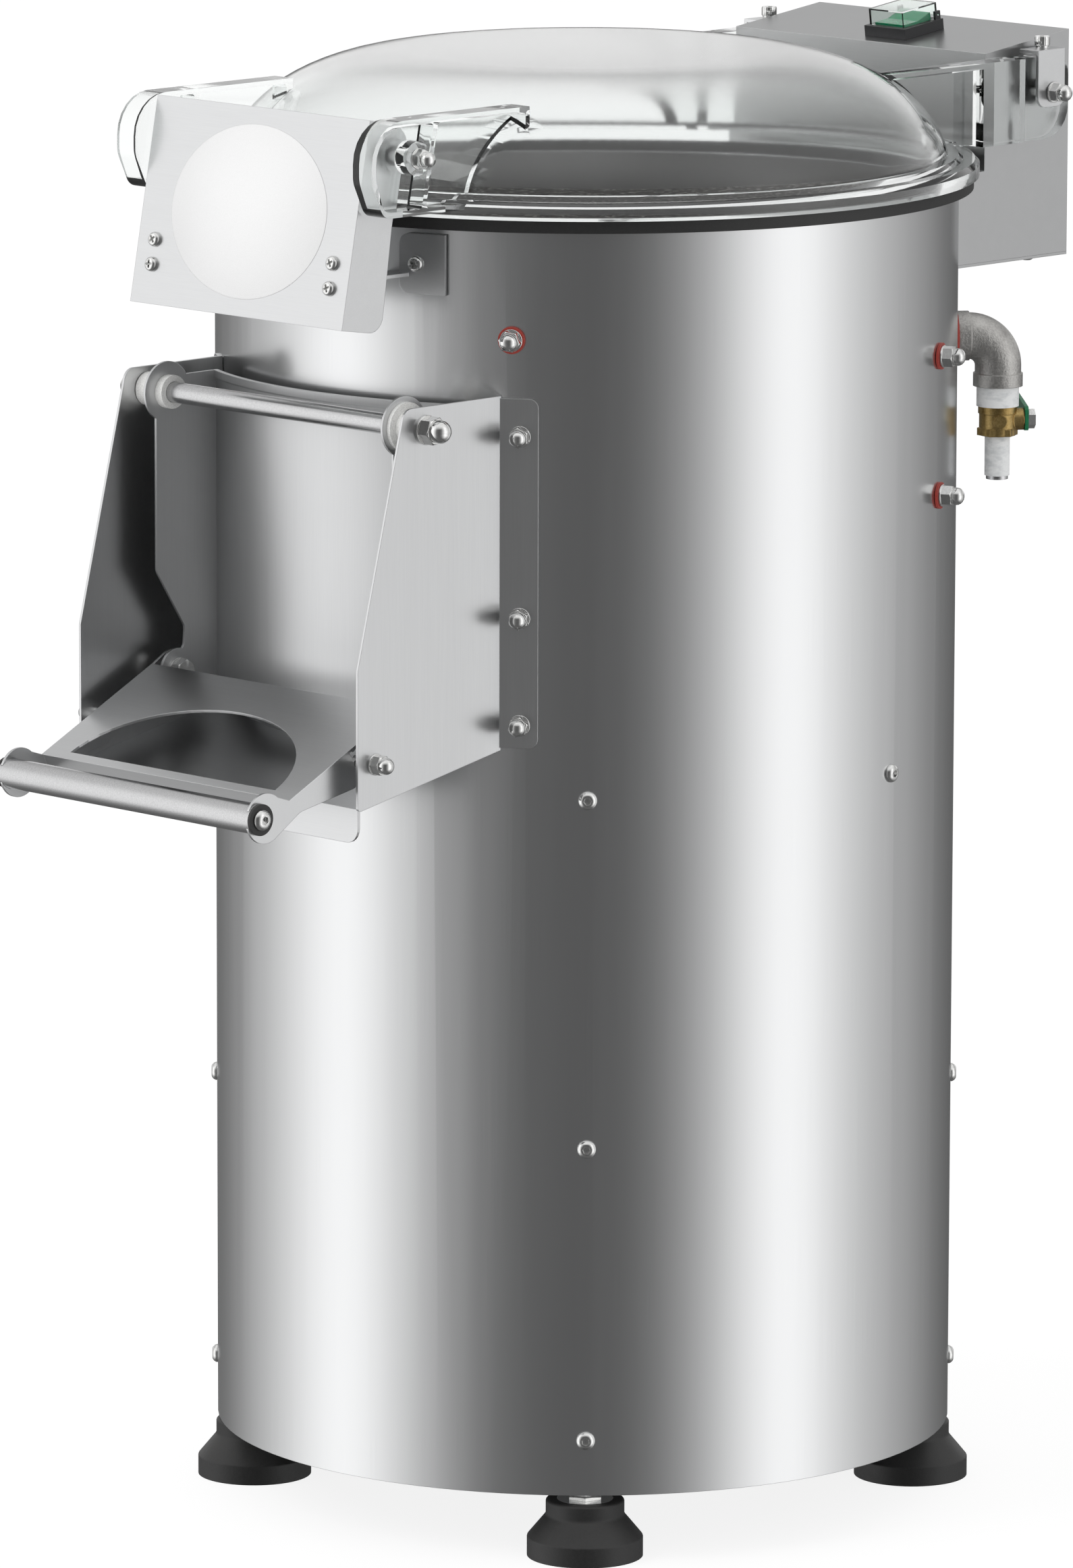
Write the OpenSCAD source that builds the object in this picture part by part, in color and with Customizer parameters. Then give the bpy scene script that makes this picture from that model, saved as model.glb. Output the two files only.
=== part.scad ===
// Electric potato peeler: a sheet steel drum on four rubber feet, with a clear hinged lid, a
// latch plate, a discharge door with a lever in a chute, a control box and a water tap.
// Millimetres. +Z is up, the chute faces -Y, and the drum's axis is the Z axis.
// Heights whose names end in _h are counted from the drum's bottom edge.

/* [Drum] */
// Outer radius of the drum
drum_r = 200; // [196:1:206]
// Height of the drum shell
drum_h = 675; // [670:1:690]
// Thickness of the sheet steel
sheet_t = 1.5; // [1.2:0.1:1.8]
// Width of the rim that is turned in at the drum's top
rim_w = 14; // [12:1:16]
// Radius of the shell screws' shanks
shell_screw_r = 3; // [2:0.5:3]
// Height of the lowest row of shell screws
low_row_h = 30; // [26:1:34]
// Height of the middle row of shell screws
mid_row_h = 188; // [184:1:194]

/* [Feet] */
// Height of the drum's bottom edge above the ground
foot_h = 37; // [34:1:44]
// Radius of the circle that the feet stand on
foot_ring_r = 180; // [170:1:182]
// Radius of a foot's base
foot_r = 31; // [28:1:34]
// Radius of a foot's neck
foot_neck_r = 21; // [19:1:23]
// Height of the straight band round a foot's base
foot_band_h = 10.5; // [8:0.5:12]
// Radius of a foot's stud
stud_r = 5; // [4:0.5:6]

/* [Chamber] */
// Height of the chamber floor's underside
floor_h = 381; // [380:1:386]
// Gap between the chamber floor and the abrasive disc
disc_gap = 11; // [9:1:14]
// Radius of the abrasive disc
disc_r = 184; // [176:1:186]
// Thickness of the abrasive disc
disc_t = 10; // [8:1:12]
// Height of the waves on the abrasive disc
wave_h = 9; // [6:1:12]
// Number of waves on the abrasive disc
wave_count = 3; // [2:1:4]
// Thickness of the abrasive liner
liner_t = 7; // [6:1:8]
// Distance of the liner's top edge below the drum's top
liner_drop = 35; // [30:1:40]
// Radius of the drain pipe
drain_r = 25; // [20:1:28]

/* [Drive] */
// Radius of the spindle
spindle_r = 12.5; // [11:0.5:14]
// Pitch radius of the drive pulley
drive_r = 92; // [86:1:96]
// Pitch radius of the motor pulley
motor_pulley_r = 25; // [22:1:28]
// Distance between the spindle and the motor shaft
centre_gap = 128; // [126:1:132]
// Height of the belt's middle above the motor plate's underside
belt_up = 19; // [17:1:24]
// Depth of the belt's section
belt_d = 8; // [7:0.5:9]
// Width of the belt's back
belt_w = 13; // [11:0.5:14]
// Radius of the motor's body
motor_r = 58; // [54:1:60]
// Length of the motor's body
motor_len = 130; // [120:1:140]

/* [Chute] */
// Half the width of the chute over its cheeks
cheek_x = 106; // [102:1:108]
// Height of the cheeks' bottom edge above the chamber floor's underside
chute_up = 20; // [18:1:25]
// Height of a cheek at the drum
cheek_rise = 187.5; // [184:0.5:190]
// Reach of the chute in front of the drum
chute_reach = 75; // [72:1:80]
// Drop of the chute floor towards its front
toe_drop = 20; // [16:1:22]
// Height of the lip under the chute's front edge
lip_drop = 17; // [12:1:20]
// Width of the cheeks' fixing flanges
flange_w = 19.5; // [18:0.5:22]

/* [Door] */
// Half the width of the door over its side plates
door_x = 90.5; // [88:0.5:91]
// Gap between the drum and the door's outer face
door_gap = 10.3; // [9:0.1:11]
// Distance of the door rod in front of the drum
rod_out = 26; // [25:0.5:28]
// Distance of the door rod below the cheeks' top
rod_drop = 12; // [11:0.5:13]
// Radius of the door rod
rod_r = 5.5; // [5:0.5:6]
// Radius of the door's ears round the rod
ear_r = 16; // [15:0.5:17]
// Distance of the lever's pivot in front of the drum
pivot_out = 19; // [18:0.5:20]
// Height of the lever's pivot above the cheeks' bottom
pivot_rise = 24.5; // [24:0.5:26]
// Radius of the lever's pivot bolts
pivot_r = 4; // [3.5:0.5:4]

/* [Lever] */
// Half the width of the lever over its flanges
lever_x = 94.5; // [94:0.5:96]
// Slope of the lever's plate
lever_slope = 26; // [25:0.5:27]
// Length of the lever from its pivot to the handle tube
lever_len = 123; // [118:1:130]
// Radius of the handle tube
tube_r = 8; // [7:0.5:9]
// Half the length of the handle tube
tube_half = 95.4; // [95:0.1:98]
// Radius of the catch pins
pin_r = 4; // [3.5:0.5:4]
// Distance of the catch pins in front of the drum
pin_out = 62.4; // [60:0.2:64]
// Height of the catch pins above the cheeks' bottom
pin_rise = 4; // [3:0.5:5]
// Angle by which the lever swings down to lock on the pins
lock_angle = 4; // [3:0.5:5]
// Half the width of the lever's cut-out
cut_half = 78; // [70:1:82]
// Depth of the lever's cut-out
cut_deep = 56; // [50:1:60]

/* [Lid] */
// Overhang of the lid's flange beyond the drum
lid_over = 11; // [10:1:13]
// Thickness of the lid's flange
lid_flange_t = 9; // [7:1:10]
// Width of the lid's flange round the dome
lid_flange_w = 16.5; // [15:0.5:18]
// Height of the lid's flat top above its flange
dome_rise = 57.5; // [54:0.5:60]
// Radius of the dome's flat top
crown_r = 95; // [85:1:110]
// Thickness of the lid's wall
lid_t = 3.5; // [3:0.5:4]
// Thickness of the seal under the lid
seal_t = 6.7; // [5:0.1:7.5]
// Distance of the lid's hinge behind the drum
hinge_out = 50; // [49:1:52]
// Height of the lid's hinge above the drum's rim
hinge_rise = 39; // [37:1:41]
// Radius of the hinge pins
hinge_r = 3; // [2.5:0.5:3]

/* [Latch] */
// Half the width of the latch plate
latch_x = 80; // [76:1:80]
// Length of the latch plate
latch_len = 109.6; // [106:0.2:114]
// Lean of the latch plate, bottom forward
latch_lean = 10.8; // [10:0.2:11.6]
// Distance of the latch pivot in front of the drum
latch_out = 19; // [18:0.5:20]
// Height of the latch pivot above the drum's rim
latch_rise = 41; // [40:0.5:42]
// Depth of the latch plate in front of its pivot
latch_deep = 25; // [24:0.5:26]
// Radius of the latch pivot bolts
latch_r = 3; // [2.5:0.5:3]

/* [Control box] */
// Half the width of the control box
box_x = 94; // [90:1:94]
// Distance of the box's back behind the drum
box_out = 81; // [80:1:86]
// Height of the box's top edge above the drum's rim
box_rise = 70; // [68:1:72]
// Slope of the box's top towards the lid
box_slope = 7.2; // [6.8:0.1:9]
// Height of the box's bottom below the drum's rim
box_drop = 53; // [50:1:60]
// Width of the switch bezel
bezel_w = 30.6; // [28:0.2:32]
// Depth of the switch bezel
bezel_d = 31; // [30:0.5:32]
// Height of the switch bezel
bezel_h = 6; // [5:0.5:7]

/* [Water tap] */
// Angle of the tap round the drum from +X
tap_angle = 52; // [50:1:56]
// Distance of the inlet below the drum's top
tap_drop = 85; // [80:1:90]
// Distance of the tap's axis from the drum
tap_out = 25; // [24:0.5:27]
// Radius of the elbow's collars
collar_r = 13.5; // [13:0.5:14.5]
// Radius of the elbow's body
elbow_r = 12.6; // [11:0.1:13]
// Radius of the valve's body
valve_r = 10; // [9:0.5:11]
// Radius of the outlet nipple
nipple_r = 6; // [5:0.5:7]

/* [Hidden] */

$fn = 72;
over = 1;
fit = 0.05;
gap = 0.3;
tiny = 0.02;

steel = "#b9bcc0";
dark_steel = "#8f9398";
bright = "#d4d7da";
clear = [0.9, 0.93, 0.95, 0.45];
rubber = "#222222";

base_z = foot_h;
rim_z = base_z + drum_h;
inner_r = drum_r - sheet_t;
floor_z = base_z + floor_h;
cheek_low_z = floor_z + chute_up;
cheek_top_z = cheek_low_z + cheek_rise;
rod_z = cheek_top_z - rod_drop;
liner_top_z = rim_z - liner_drop;
tap_z = rim_z - tap_drop;
lid_r = drum_r + lid_over;
dome_r = lid_r - lid_flange_w;

// Angles of the shell screws round the drum, from +X
corner_angles = [-135, -45, 45, 135];
floor_angles = [-135, -45, 9, 63, 117, 171];

// Fastener sizes
nut_r = 5.8;
nut_h = 5.5;
nut_dome_r = 4.7;
nut_dome_h = 6;
washer_r = 6;
washer_t = 1.2;
button_r = 5;
button_h = 3;

// Shared helpers

function at_radius(x, r) = sqrt(r * r - x * x);

// Corners scaled across and up, with their radii kept
function sized(points, w, h) = [for (p = points) [p[0] * w, p[1] * h, p[2]]];

function turn(p, a) = [p[0] * cos(a) - p[1] * sin(a), p[0] * sin(a) + p[1] * cos(a)];

function unit(v) = v / norm(v);

function side_of(u, v) = sign(u[0] * v[1] - u[1] * v[0]);

// The arc that rounds corner b between a and c with radius r
function corner_arc(a, b, c, r, n) =
  r == 0 ? [b] :
  let(
    u = unit(a - b),
    v = unit(c - b),
    half = acos(u * v) / 2,
    reach = r / tan(half),
    centre = b + unit(u + v) * r / sin(half),
    start = b + u * reach - centre,
    stop = b + v * reach - centre,
    sweep = side_of(start, stop) * (180 - 2 * half)
  )
  [for (i = [0 : n]) centre + turn(start, sweep * i / n)];

// An outline of [x, y, corner radius] points, with its corners rounded
function rounded(points, n = 6) =
  let(last = len(points) - 1)
  [for (i = [0 : last])
    let(
      p = points[i],
      before = points[i == 0 ? last : i - 1],
      after = points[i == last ? 0 : i + 1]
    )
    each corner_arc([before[0], before[1]], [p[0], p[1]], [after[0], after[1]], p[2], n)];

// Extrudes a (y, z) outline along +X from x
module side_plate(x, t) {
  translate([x, 0, 0])
    rotate([90, 0, 90])
      linear_extrude(height = t)
        children();
}

module both_sides() {
  children();
  mirror([1, 0, 0])
    children();
}

// Places children at angle a round the drum, at height z, with their +Z pointing outwards
module on_drum(a, z, r = drum_r) {
  rotate([0, 0, a])
    translate([r, 0, z])
      rotate([0, 90, 0])
        children();
}

module ring(r_out, r_in, h) {
  difference() {
    cylinder(r = r_out, h = h);
    up(-over)
      cylinder(r = r_in, h = h + 2 * over);
  }
}

module up(z) {
  translate([0, 0, z])
    children();
}

module post(r, z, h) {
  up(z)
    cylinder(r = r, h = h);
}

// Cutter for a hole through a plate of thickness h at height z
module bore(r, z, h) {
  post(r, z - over, h + 2 * over);
}

// Turns its children's +Z to +X and moves them
module along_x(x, y, z) {
  translate([x, y, z])
    rotate([0, 90, 0])
      children();
}

module hex_prism(r, h) {
  cylinder(r = r, h = h, $fn = 6);
}

// Cap nut on its washer, with a stud of length tail behind it
module cap_nut(scale_share = 1, tail = 0, shank_r = shell_screw_r) {
  washer = washer_t * scale_share;
  hex = nut_h * scale_share;
  dome = nut_dome_h * scale_share;
  dome_round = nut_dome_r * scale_share;
  cylinder(r = washer_r * scale_share, h = washer);
  up(washer)
    hex_prism(nut_r * scale_share, hex);
  up(washer + hex)
    cap_dome(dome_round, dome);
  if (tail > 0)
    post(shank_r, -tail, tail + washer);
}

module cap_dome(r, h) {
  straight = h - r * dome_sink_share;
  rotate_extrude()
    polygon(concat(
      [[0, 0], [r, 0]],
      [for (i = [0 : 4]) [r * cos(i * 18), straight + r * dome_sink_share * sin(i * 18)]],
      [[0, h]]
    ));
}
dome_sink_share = 0.8;

// Button-head screw with a hexagon socket
module button_screw(r, h, shank_r, tail) {
  difference() {
    union() {
      rotate_extrude()
        polygon([for (p = [[0, 0], [1, 0], [1, 0.2], [0.86, 0.68], [0.6, 1], [0, 1]]) [p[0] * r, p[1] * h]]);
      post(shank_r, -tail, tail + tiny);
    }
    up(h * 0.35)
      hex_prism(r * 0.38, h);
  }
}

// Pan-head screw standing on +Z
module pan_screw(r, h, shank_r, tail) {
  rotate_extrude()
    polygon([for (p = [[0, 0], [1, 0], [0.9, 0.55], [0.55, 0.93], [0, 1]]) [p[0] * r, p[1] * h]]);
  post(shank_r, -tail, tail + tiny);
}

// Socket-head cap screw standing on +Z
module socket_screw(r, h, shank_r, tail) {
  difference() {
    union() {
      cylinder(r = r, h = h);
      up(-tail)
        cylinder(r = shank_r, h = tail + tiny);
    }
    up(h * 0.45)
      hex_prism(r * 0.55, h);
  }
}

// Drum

opening_edge = 18.5;
opening_sill = 33;
opening_head = 20.5;
opening_round = 10;
opening_x = door_x - opening_edge;
opening_low = cheek_low_z + opening_sill;
opening_top = rod_z - opening_head;
flange_angle = asin((cheek_x + flange_w * 0.41) / drum_r);
chute_nut_shares = [0.888, 0.376, 0.0725];
front_liner_angle = -56.6;
front_liner_z = liner_top_z * 0.573 + cheek_top_z * 0.427;
side_liner_angle = 25;
side_liner_shares = [0.185, 0.475];
catch_drop = 19;
catch_z = rim_z - catch_drop;
catch_angle = -71.5;
drain_angle = 90;
drain_out = 150;
hole_r = shell_screw_r + fit;
reach = liner_t + 10 * sheet_t;

// Children are drilled along the radius at every fastener of the drum
module at_shell_screws() {
  for (a = corner_angles) {
    on_drum(a, base_z + low_row_h) children();
    on_drum(a, base_z + mid_row_h) children();
  }
  for (a = floor_angles)
    on_drum(a, floor_z - floor_skirt * 0.43) children();
}

module at_liner_nuts() {
  for (a = [front_liner_angle, -180 - front_liner_angle])
    on_drum(a, front_liner_z) children();
  for (a = [side_liner_angle, 180 - side_liner_angle])
    for (share = side_liner_shares)
      on_drum(a, liner_top_z - (liner_top_z - floor_z) * share) children();
}

module at_chute_nuts() {
  for (a = [flange_angle - 90, -90 - flange_angle])
    for (share = chute_nut_shares)
      on_drum(a, cheek_low_z + cheek_rise * share, drum_r + sheet_t) children();
}

module at_catch_screws() {
  for (a = [catch_angle, -180 - catch_angle])
    on_drum(a, catch_z, drum_r + catch_t) children();
}

module drill(r, deep) {
  up(-deep)
    cylinder(r = r, h = 2 * deep);
}

module opening_cut(grow) {
  rotate([90, 0, 0])
    linear_extrude(height = 2 * drum_r)
      polygon(rounded([
        [-opening_x - grow, opening_low - grow, opening_round],
        [opening_x + grow, opening_low - grow, opening_round],
        [opening_x + grow, opening_top + grow, opening_round],
        [-opening_x - grow, opening_top + grow, opening_round]
      ]));
}

module drum_shell() {
  color(steel)
    difference() {
      rotate_extrude($fn = 180)
        polygon([
          [drum_r, base_z], [drum_r, rim_z],
          [drum_r - rim_w, rim_z], [drum_r - rim_w, rim_z - sheet_t],
          [inner_r, rim_z - sheet_t], [inner_r, base_z]
        ]);
      opening_cut(0);
      at_shell_screws() drill(hole_r, reach);
      at_liner_nuts() drill(hole_r, reach);
      at_chute_nuts() drill(hole_r, reach);
      at_catch_screws() drill(catch_screw_r + fit, reach);
      on_drum(tap_angle, tap_z) drill(inlet_r + fit, reach);
      up(drain_z)
        rotate([0, 0, drain_angle])
          rotate([0, 90, 0])
            cylinder(r = drain_r + fit, h = 2 * drum_r);
    }
}

ring_t = 3;
ring_w = 48;
ring_up = 44;

module base_ring() {
  color(dark_steel)
    difference() {
      rotate_extrude($fn = 180)
        polygon([
          [inner_r, base_z], [inner_r, base_z + ring_up],
          [inner_r - ring_t, base_z + ring_up], [inner_r - ring_t, base_z + ring_t],
          [inner_r - ring_w, base_z + ring_t], [inner_r - ring_w, base_z]
        ]);
      at_shell_screws() drill(hole_r, reach);
      at_feet() bore(stud_r + fit, base_z, ring_t);
    }
}

module at_feet() {
  for (a = corner_angles)
    rotate([0, 0, a])
      translate([foot_ring_r, 0, 0])
        children();
}

foot_top_gap = 6;
foot_round = 3;
foot_top_z = foot_h - foot_top_gap;
foot_washer_r = 15;
foot_washer_t = 2;
foot_nut_r = 9.8;
foot_nut_h = 8;

module foot() {
  shoulder_z = foot_h * 0.61;
  difference() {
    rotate_extrude()
      polygon(rounded([
        [0, 0, 0], [foot_r, 0, 0],
        [foot_r, foot_band_h, foot_round / 2], [foot_neck_r, shoulder_z, foot_round],
        [foot_neck_r, foot_top_z, foot_round / 2], [foot_washer_r + gap, foot_top_z, 0],
        [foot_washer_r + gap, foot_top_z - foot_washer_t, 0], [0, foot_top_z - foot_washer_t, 0]
      ]));
    post(stud_r, foot_h / 3, foot_h);
  }
}

module feet() {
  color(rubber)
    at_feet() foot();
}

module foot_studs() {
  color(bright)
    at_feet() {
      post(stud_r, foot_h / 3, foot_h * 2 / 3 + ring_t + foot_nut_h + stud_r);
      post(foot_washer_r, foot_top_z - foot_washer_t, foot_washer_t);
      up(foot_top_z)
        hex_prism(foot_nut_r, foot_top_gap);
      up(base_z + ring_t)
        hex_prism(foot_nut_r, foot_nut_h);
    }
}

module shell_screws() {
  color(bright)
    at_shell_screws()
      button_screw(button_r, button_h, shell_screw_r, sheet_t + ring_t + nut_h);
}

// Chamber

floor_t = 2;
floor_skirt = 14;
disc_z = floor_z + floor_t + disc_gap;
housing_r = 34;
liner_r = inner_r - 2 * sheet_t;
liner_low_z = disc_z + floor_t + gap;

module chamber_floor() {
  color(steel)
    difference() {
      rotate_extrude($fn = 180)
        polygon([
          [spindle_r + sheet_t, floor_z], [inner_r - floor_t, floor_z],
          [inner_r - floor_t, floor_z - floor_skirt], [inner_r, floor_z - floor_skirt],
          [inner_r, floor_z + floor_t], [spindle_r + sheet_t, floor_z + floor_t]
        ]);
      at_shell_screws() drill(hole_r, reach);
      rotate([0, 0, drain_angle])
        translate([drain_out, 0, 0])
          bore(drain_r - drain_wall, floor_z, floor_t);
      at_housing_bolts() bore(housing_bolt_r + fit, floor_z, floor_t);
    }
}

liner_pad = 2 * sheet_t;
liner_pad_r = 2 * shell_screw_r;
liner_edge = 2;
pad_bow = inner_r - at_radius(liner_pad_r, inner_r) + tiny;

module abrasive_liner() {
  color("#4d4a46")
    difference() {
      union() {
        up(liner_low_z)
          ring(liner_r, liner_r - liner_t, liner_top_z - liner_low_z);
        at_liner_nuts()
          post(liner_pad_r, -liner_pad - 2 * sheet_t, liner_pad + sheet_t - pad_bow);
      }
      opening_cut(liner_edge);
      on_drum(tap_angle, tap_z) drill(inlet_r + gap, reach);
      at_liner_nuts() drill(hole_r, reach);
    }
}

module liner_nuts() {
  color(bright)
    at_liner_nuts()
      up(gasket_t)
        cap_nut(1, gasket_t + sheet_t + liner_pad + liner_t);
}

gasket_t = 1.5;
gasket_r = 7.2;

module liner_gaskets() {
  color("#a5332b") {
    at_liner_nuts()
      ring(gasket_r, hole_r, gasket_t);
    on_drum(tap_angle, tap_z)
      ring(collar_r + gasket_t, inlet_r + fit, gasket_t);
  }
}

// The drain leaves the floor at the back, turns and runs out through the shell
drain_lip = 8;
drain_fall = 30;
drain_bend = drain_r + drain_lip;
drain_wall = 2;
drain_z = floor_z - drain_fall - drain_bend;
drain_tail = 40;
drain_weld = 4;

module drain_pipe() {
  color(steel)
    rotate([0, 0, drain_angle])
      difference() {
        union() {
          translate([drain_out, 0, drain_z + drain_bend])
            cylinder(r = drain_r, h = floor_z - drain_z - drain_bend);
          drain_elbow(drain_r);
          along_x(drain_out + drain_bend, 0, drain_z)
            cylinder(r = drain_r, h = drum_r + drain_tail - drain_out - drain_bend);
          translate([drain_out, 0, floor_z - floor_t])
            cylinder(r = drain_r + drain_lip, h = floor_t);
          difference() {
            along_x(inner_r, 0, drain_z)
              cylinder(r = drain_r + drain_wall, h = drain_weld + sheet_t);
            cylinder(r = drum_r + tiny, h = rim_z);
          }
        }
        translate([drain_out, 0, drain_z + drain_bend])
          cylinder(r = drain_r - drain_wall, h = floor_z);
        drain_elbow(drain_r - drain_wall);
        along_x(drain_out + drain_bend, 0, drain_z)
          cylinder(r = drain_r - drain_wall, h = drum_r + drain_tail);
      }
}

module drain_elbow(r) {
  translate([drain_out + drain_bend, 0, drain_z + drain_bend])
    rotate([90, 0, 0])
      rotate([0, 0, 180])
        rotate_extrude(angle = 90)
          translate([drain_bend, 0])
            circle(r = r);
}

// Drive

plate_t = 3;
plate_skirt = 16;
plate_z = base_z + mid_row_h + plate_skirt / 2;
belt_z = plate_z + belt_up;
belt_taper = 2.5;
pulley_h = 20;
pulley_z = belt_z - pulley_h / 2;
groove_side = belt_w / 2 + gap;
groove_root = groove_side - belt_taper;
groove_ease = 1;
shaft_r = 9;
housing_bolt_r = 3.5;
housing_gap = 36;
housing_low_z = pulley_z + pulley_h + housing_gap;
housing_len = floor_z - housing_low_z;
spindle_ease = 4;
housing_flange_r = 55;
housing_flange_t = 8;
bearing_r = 26;
bearing_h = 15;

module at_motor() {
  translate([0, centre_gap, 0])
    children();
}

module motor_plate() {
  color(dark_steel)
    difference() {
      rotate_extrude($fn = 180)
        polygon([
          [spindle_r + 1.5 * spindle_ease, plate_z], [inner_r - plate_t, plate_z],
          [inner_r - plate_t, plate_z - plate_skirt], [inner_r, plate_z - plate_skirt],
          [inner_r, plate_z + plate_t], [spindle_r + 1.5 * spindle_ease, plate_z + plate_t]
        ]);
      at_shell_screws() drill(hole_r, reach);
      at_motor() {
        bore(shaft_r + spindle_ease, plate_z, plate_t);
        at_motor_bolts() bore(motor_bolt_r + fit, plate_z, plate_t);
      }
    }
}

motor_bolt_r = 3;
motor_flange_t = 8;
motor_lip = 2;
terminal_out = 14;
terminal_deep = 24;
fin_count = 32;
fin_deep = 4;

module at_motor_bolts() {
  for (a = [45 : 90 : 315])
    rotate([0, 0, a])
      translate([motor_r * 0.8, 0, 0])
        children();
}

// One fin is a tooth of the star outline that the body is drawn from
function fin_outline() =
  [for (i = [0 : fin_count - 1])
    each [
      turn([motor_r, 0], (i - 0.3) * 360 / fin_count),
      turn([motor_r, 0], (i + 0.3) * 360 / fin_count),
      turn([motor_r - fin_deep, 0], (i + 0.36) * 360 / fin_count),
      turn([motor_r - fin_deep, 0], (i + 0.64) * 360 / fin_count)
    ]];

module motor_body() {
  bell = motor_len * 0.16;
  color("#5b6066")
    at_motor()
      difference() {
        union() {
          post(motor_r + motor_lip, plate_z - motor_flange_t, motor_flange_t);
          up(plate_z - motor_len + bell)
            linear_extrude(height = motor_len - bell - motor_flange_t)
              polygon(fin_outline());
          post(motor_r + motor_lip / 2, plate_z - motor_len, bell);
          translate([-motor_r * 0.4, -motor_r - terminal_out, plate_z - motor_len * 0.7])
            cube([motor_r * 0.8, terminal_deep, motor_len * 0.35]);
          at_motor_bolts() post(motor_bolt_r, plate_z - tiny, plate_t + nut_h);
          at_motor_bolts() up(plate_z + plate_t)
            hex_prism(nut_r, nut_h);
        }
        post(shaft_r + fit, plate_z - motor_len / 2, motor_len);
      }
}

module motor_shaft() {
  color(bright)
    at_motor()
      post(
        shaft_r,
        plate_z - motor_len / 2 + gap,
        pulley_z + pulley_h - plate_z + motor_len / 2 - gap
      );
}

// V-pulley whose bore fits its shaft
module pulley(r, bore_r) {
  rotate_extrude()
    polygon([
      [bore_r, 0], [r + belt_d / 2, 0],
      [r + belt_d / 2, pulley_h / 2 - groove_side],
      [r - belt_d / 2 - groove_ease, pulley_h / 2 - groove_root],
      [r - belt_d / 2 - groove_ease, pulley_h / 2 + groove_root],
      [r + belt_d / 2, pulley_h / 2 + groove_side], [r + belt_d / 2, pulley_h],
      [bore_r, pulley_h]
    ]);
}

module motor_pulley() {
  color("#6d7276")
    at_motor()
      up(pulley_z)
        pulley(motor_pulley_r, shaft_r);
}

module drive_pulley() {
  web = pulley_h * 0.3;
  holes = 5;
  hub = spindle_r + hub_wall;
  rim = drive_r - 2 * belt_d;
  color("#6d7276")
    up(pulley_z)
      difference() {
        pulley(drive_r, spindle_r);
        for (z = [pulley_h / 2 + web / 2, -pulley_h / 2 - web / 2])
          up(z)
            ring(rim, hub, pulley_h);
        for (i = [0 : holes - 1])
          rotate([0, 0, i * 360 / holes])
            translate([(rim + hub) / 2, 0, 0])
              bore((rim - hub) * 0.36, 0, pulley_h);
      }
}

module belt_section() {
  polygon([
    [-belt_d / 2, belt_taper - belt_w / 2], [belt_d / 2, -belt_w / 2],
    [belt_d / 2, belt_w / 2], [-belt_d / 2, belt_w / 2 - belt_taper]
  ]);
}

// Two arcs round the pulleys and the two straight runs between them
module drive_belt() {
  lean = asin((drive_r - motor_pulley_r) / centre_gap);
  run = centre_gap * cos(lean);
  color(rubber)
    up(belt_z) {
      rotate([0, 0, 180 - lean])
        rotate_extrude(angle = 180 + 2 * lean, $fn = 144)
          translate([drive_r, 0])
            belt_section();
      at_motor()
        rotate([0, 0, lean])
          rotate_extrude(angle = 180 - 2 * lean)
            translate([motor_pulley_r, 0])
              belt_section();
      both_sides()
        rotate([0, 0, lean])
          translate([drive_r, run, 0])
            rotate([90, 0, 0])
              linear_extrude(height = run)
                belt_section();
    }
}

module at_housing_bolts() {
  for (a = [45 : 90 : 315])
    rotate([0, 0, a])
      translate([(housing_flange_r + housing_r) / 2, 0, 0])
        children();
}

module bearing_housing() {
  rib_t = housing_bolt_r * 1.7;
  color("#5b6066")
    difference() {
      union() {
        post(housing_r, housing_low_z, housing_len);
        post(housing_flange_r, floor_z - housing_flange_t, housing_flange_t);
        at_housing_bolts() post(housing_bolt_r, floor_z - tiny, floor_t + tiny);
        at_housing_bolts() up(floor_z + floor_t)
          hex_prism(nut_r, nut_h);
        for (a = [0 : 90 : 270])
          rotate([0, 0, a])
            rotate([90, 0, 0])
              up(-rib_t / 2)
                linear_extrude(height = rib_t)
                  polygon([
                    [housing_r * 0.94, floor_z - housing_len * 0.75],
                    [housing_flange_r * 0.94, floor_z - housing_flange_t],
                    [housing_r * 0.94, floor_z - housing_flange_t]
                  ]);
      }
      bore(spindle_r + spindle_ease, housing_low_z, housing_len);
      for (z = [housing_low_z - over, floor_z - bearing_h])
        post(bearing_r, z, bearing_h + over);
    }
}

module spindle_bearings() {
  color(bright)
    for (z = [housing_low_z, floor_z - bearing_h])
      up(z)
        rotate_extrude()
          polygon([
            [spindle_r + fit, 0], [bearing_r * 0.8, 0],
            [bearing_r * 0.8, bearing_h * 0.07], [bearing_r * 0.88, bearing_h * 0.07],
            [bearing_r * 0.88, 0], [bearing_r, 0],
            [bearing_r, bearing_h], [spindle_r + fit, bearing_h]
          ]);
}

hub_r = 30;
hub_wall = 14;
hub_gap = 3;
hub_h = disc_gap - hub_gap;
spindle_low_z = pulley_z - hub_gap;
disc_edge = 4;

module spindle() {
  color(bright) {
    post(spindle_r, spindle_low_z, disc_z + disc_t / 2 - spindle_low_z);
    up(disc_z - hub_h)
      ring(hub_r, spindle_r - tiny, hub_h);
  }
}

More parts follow.
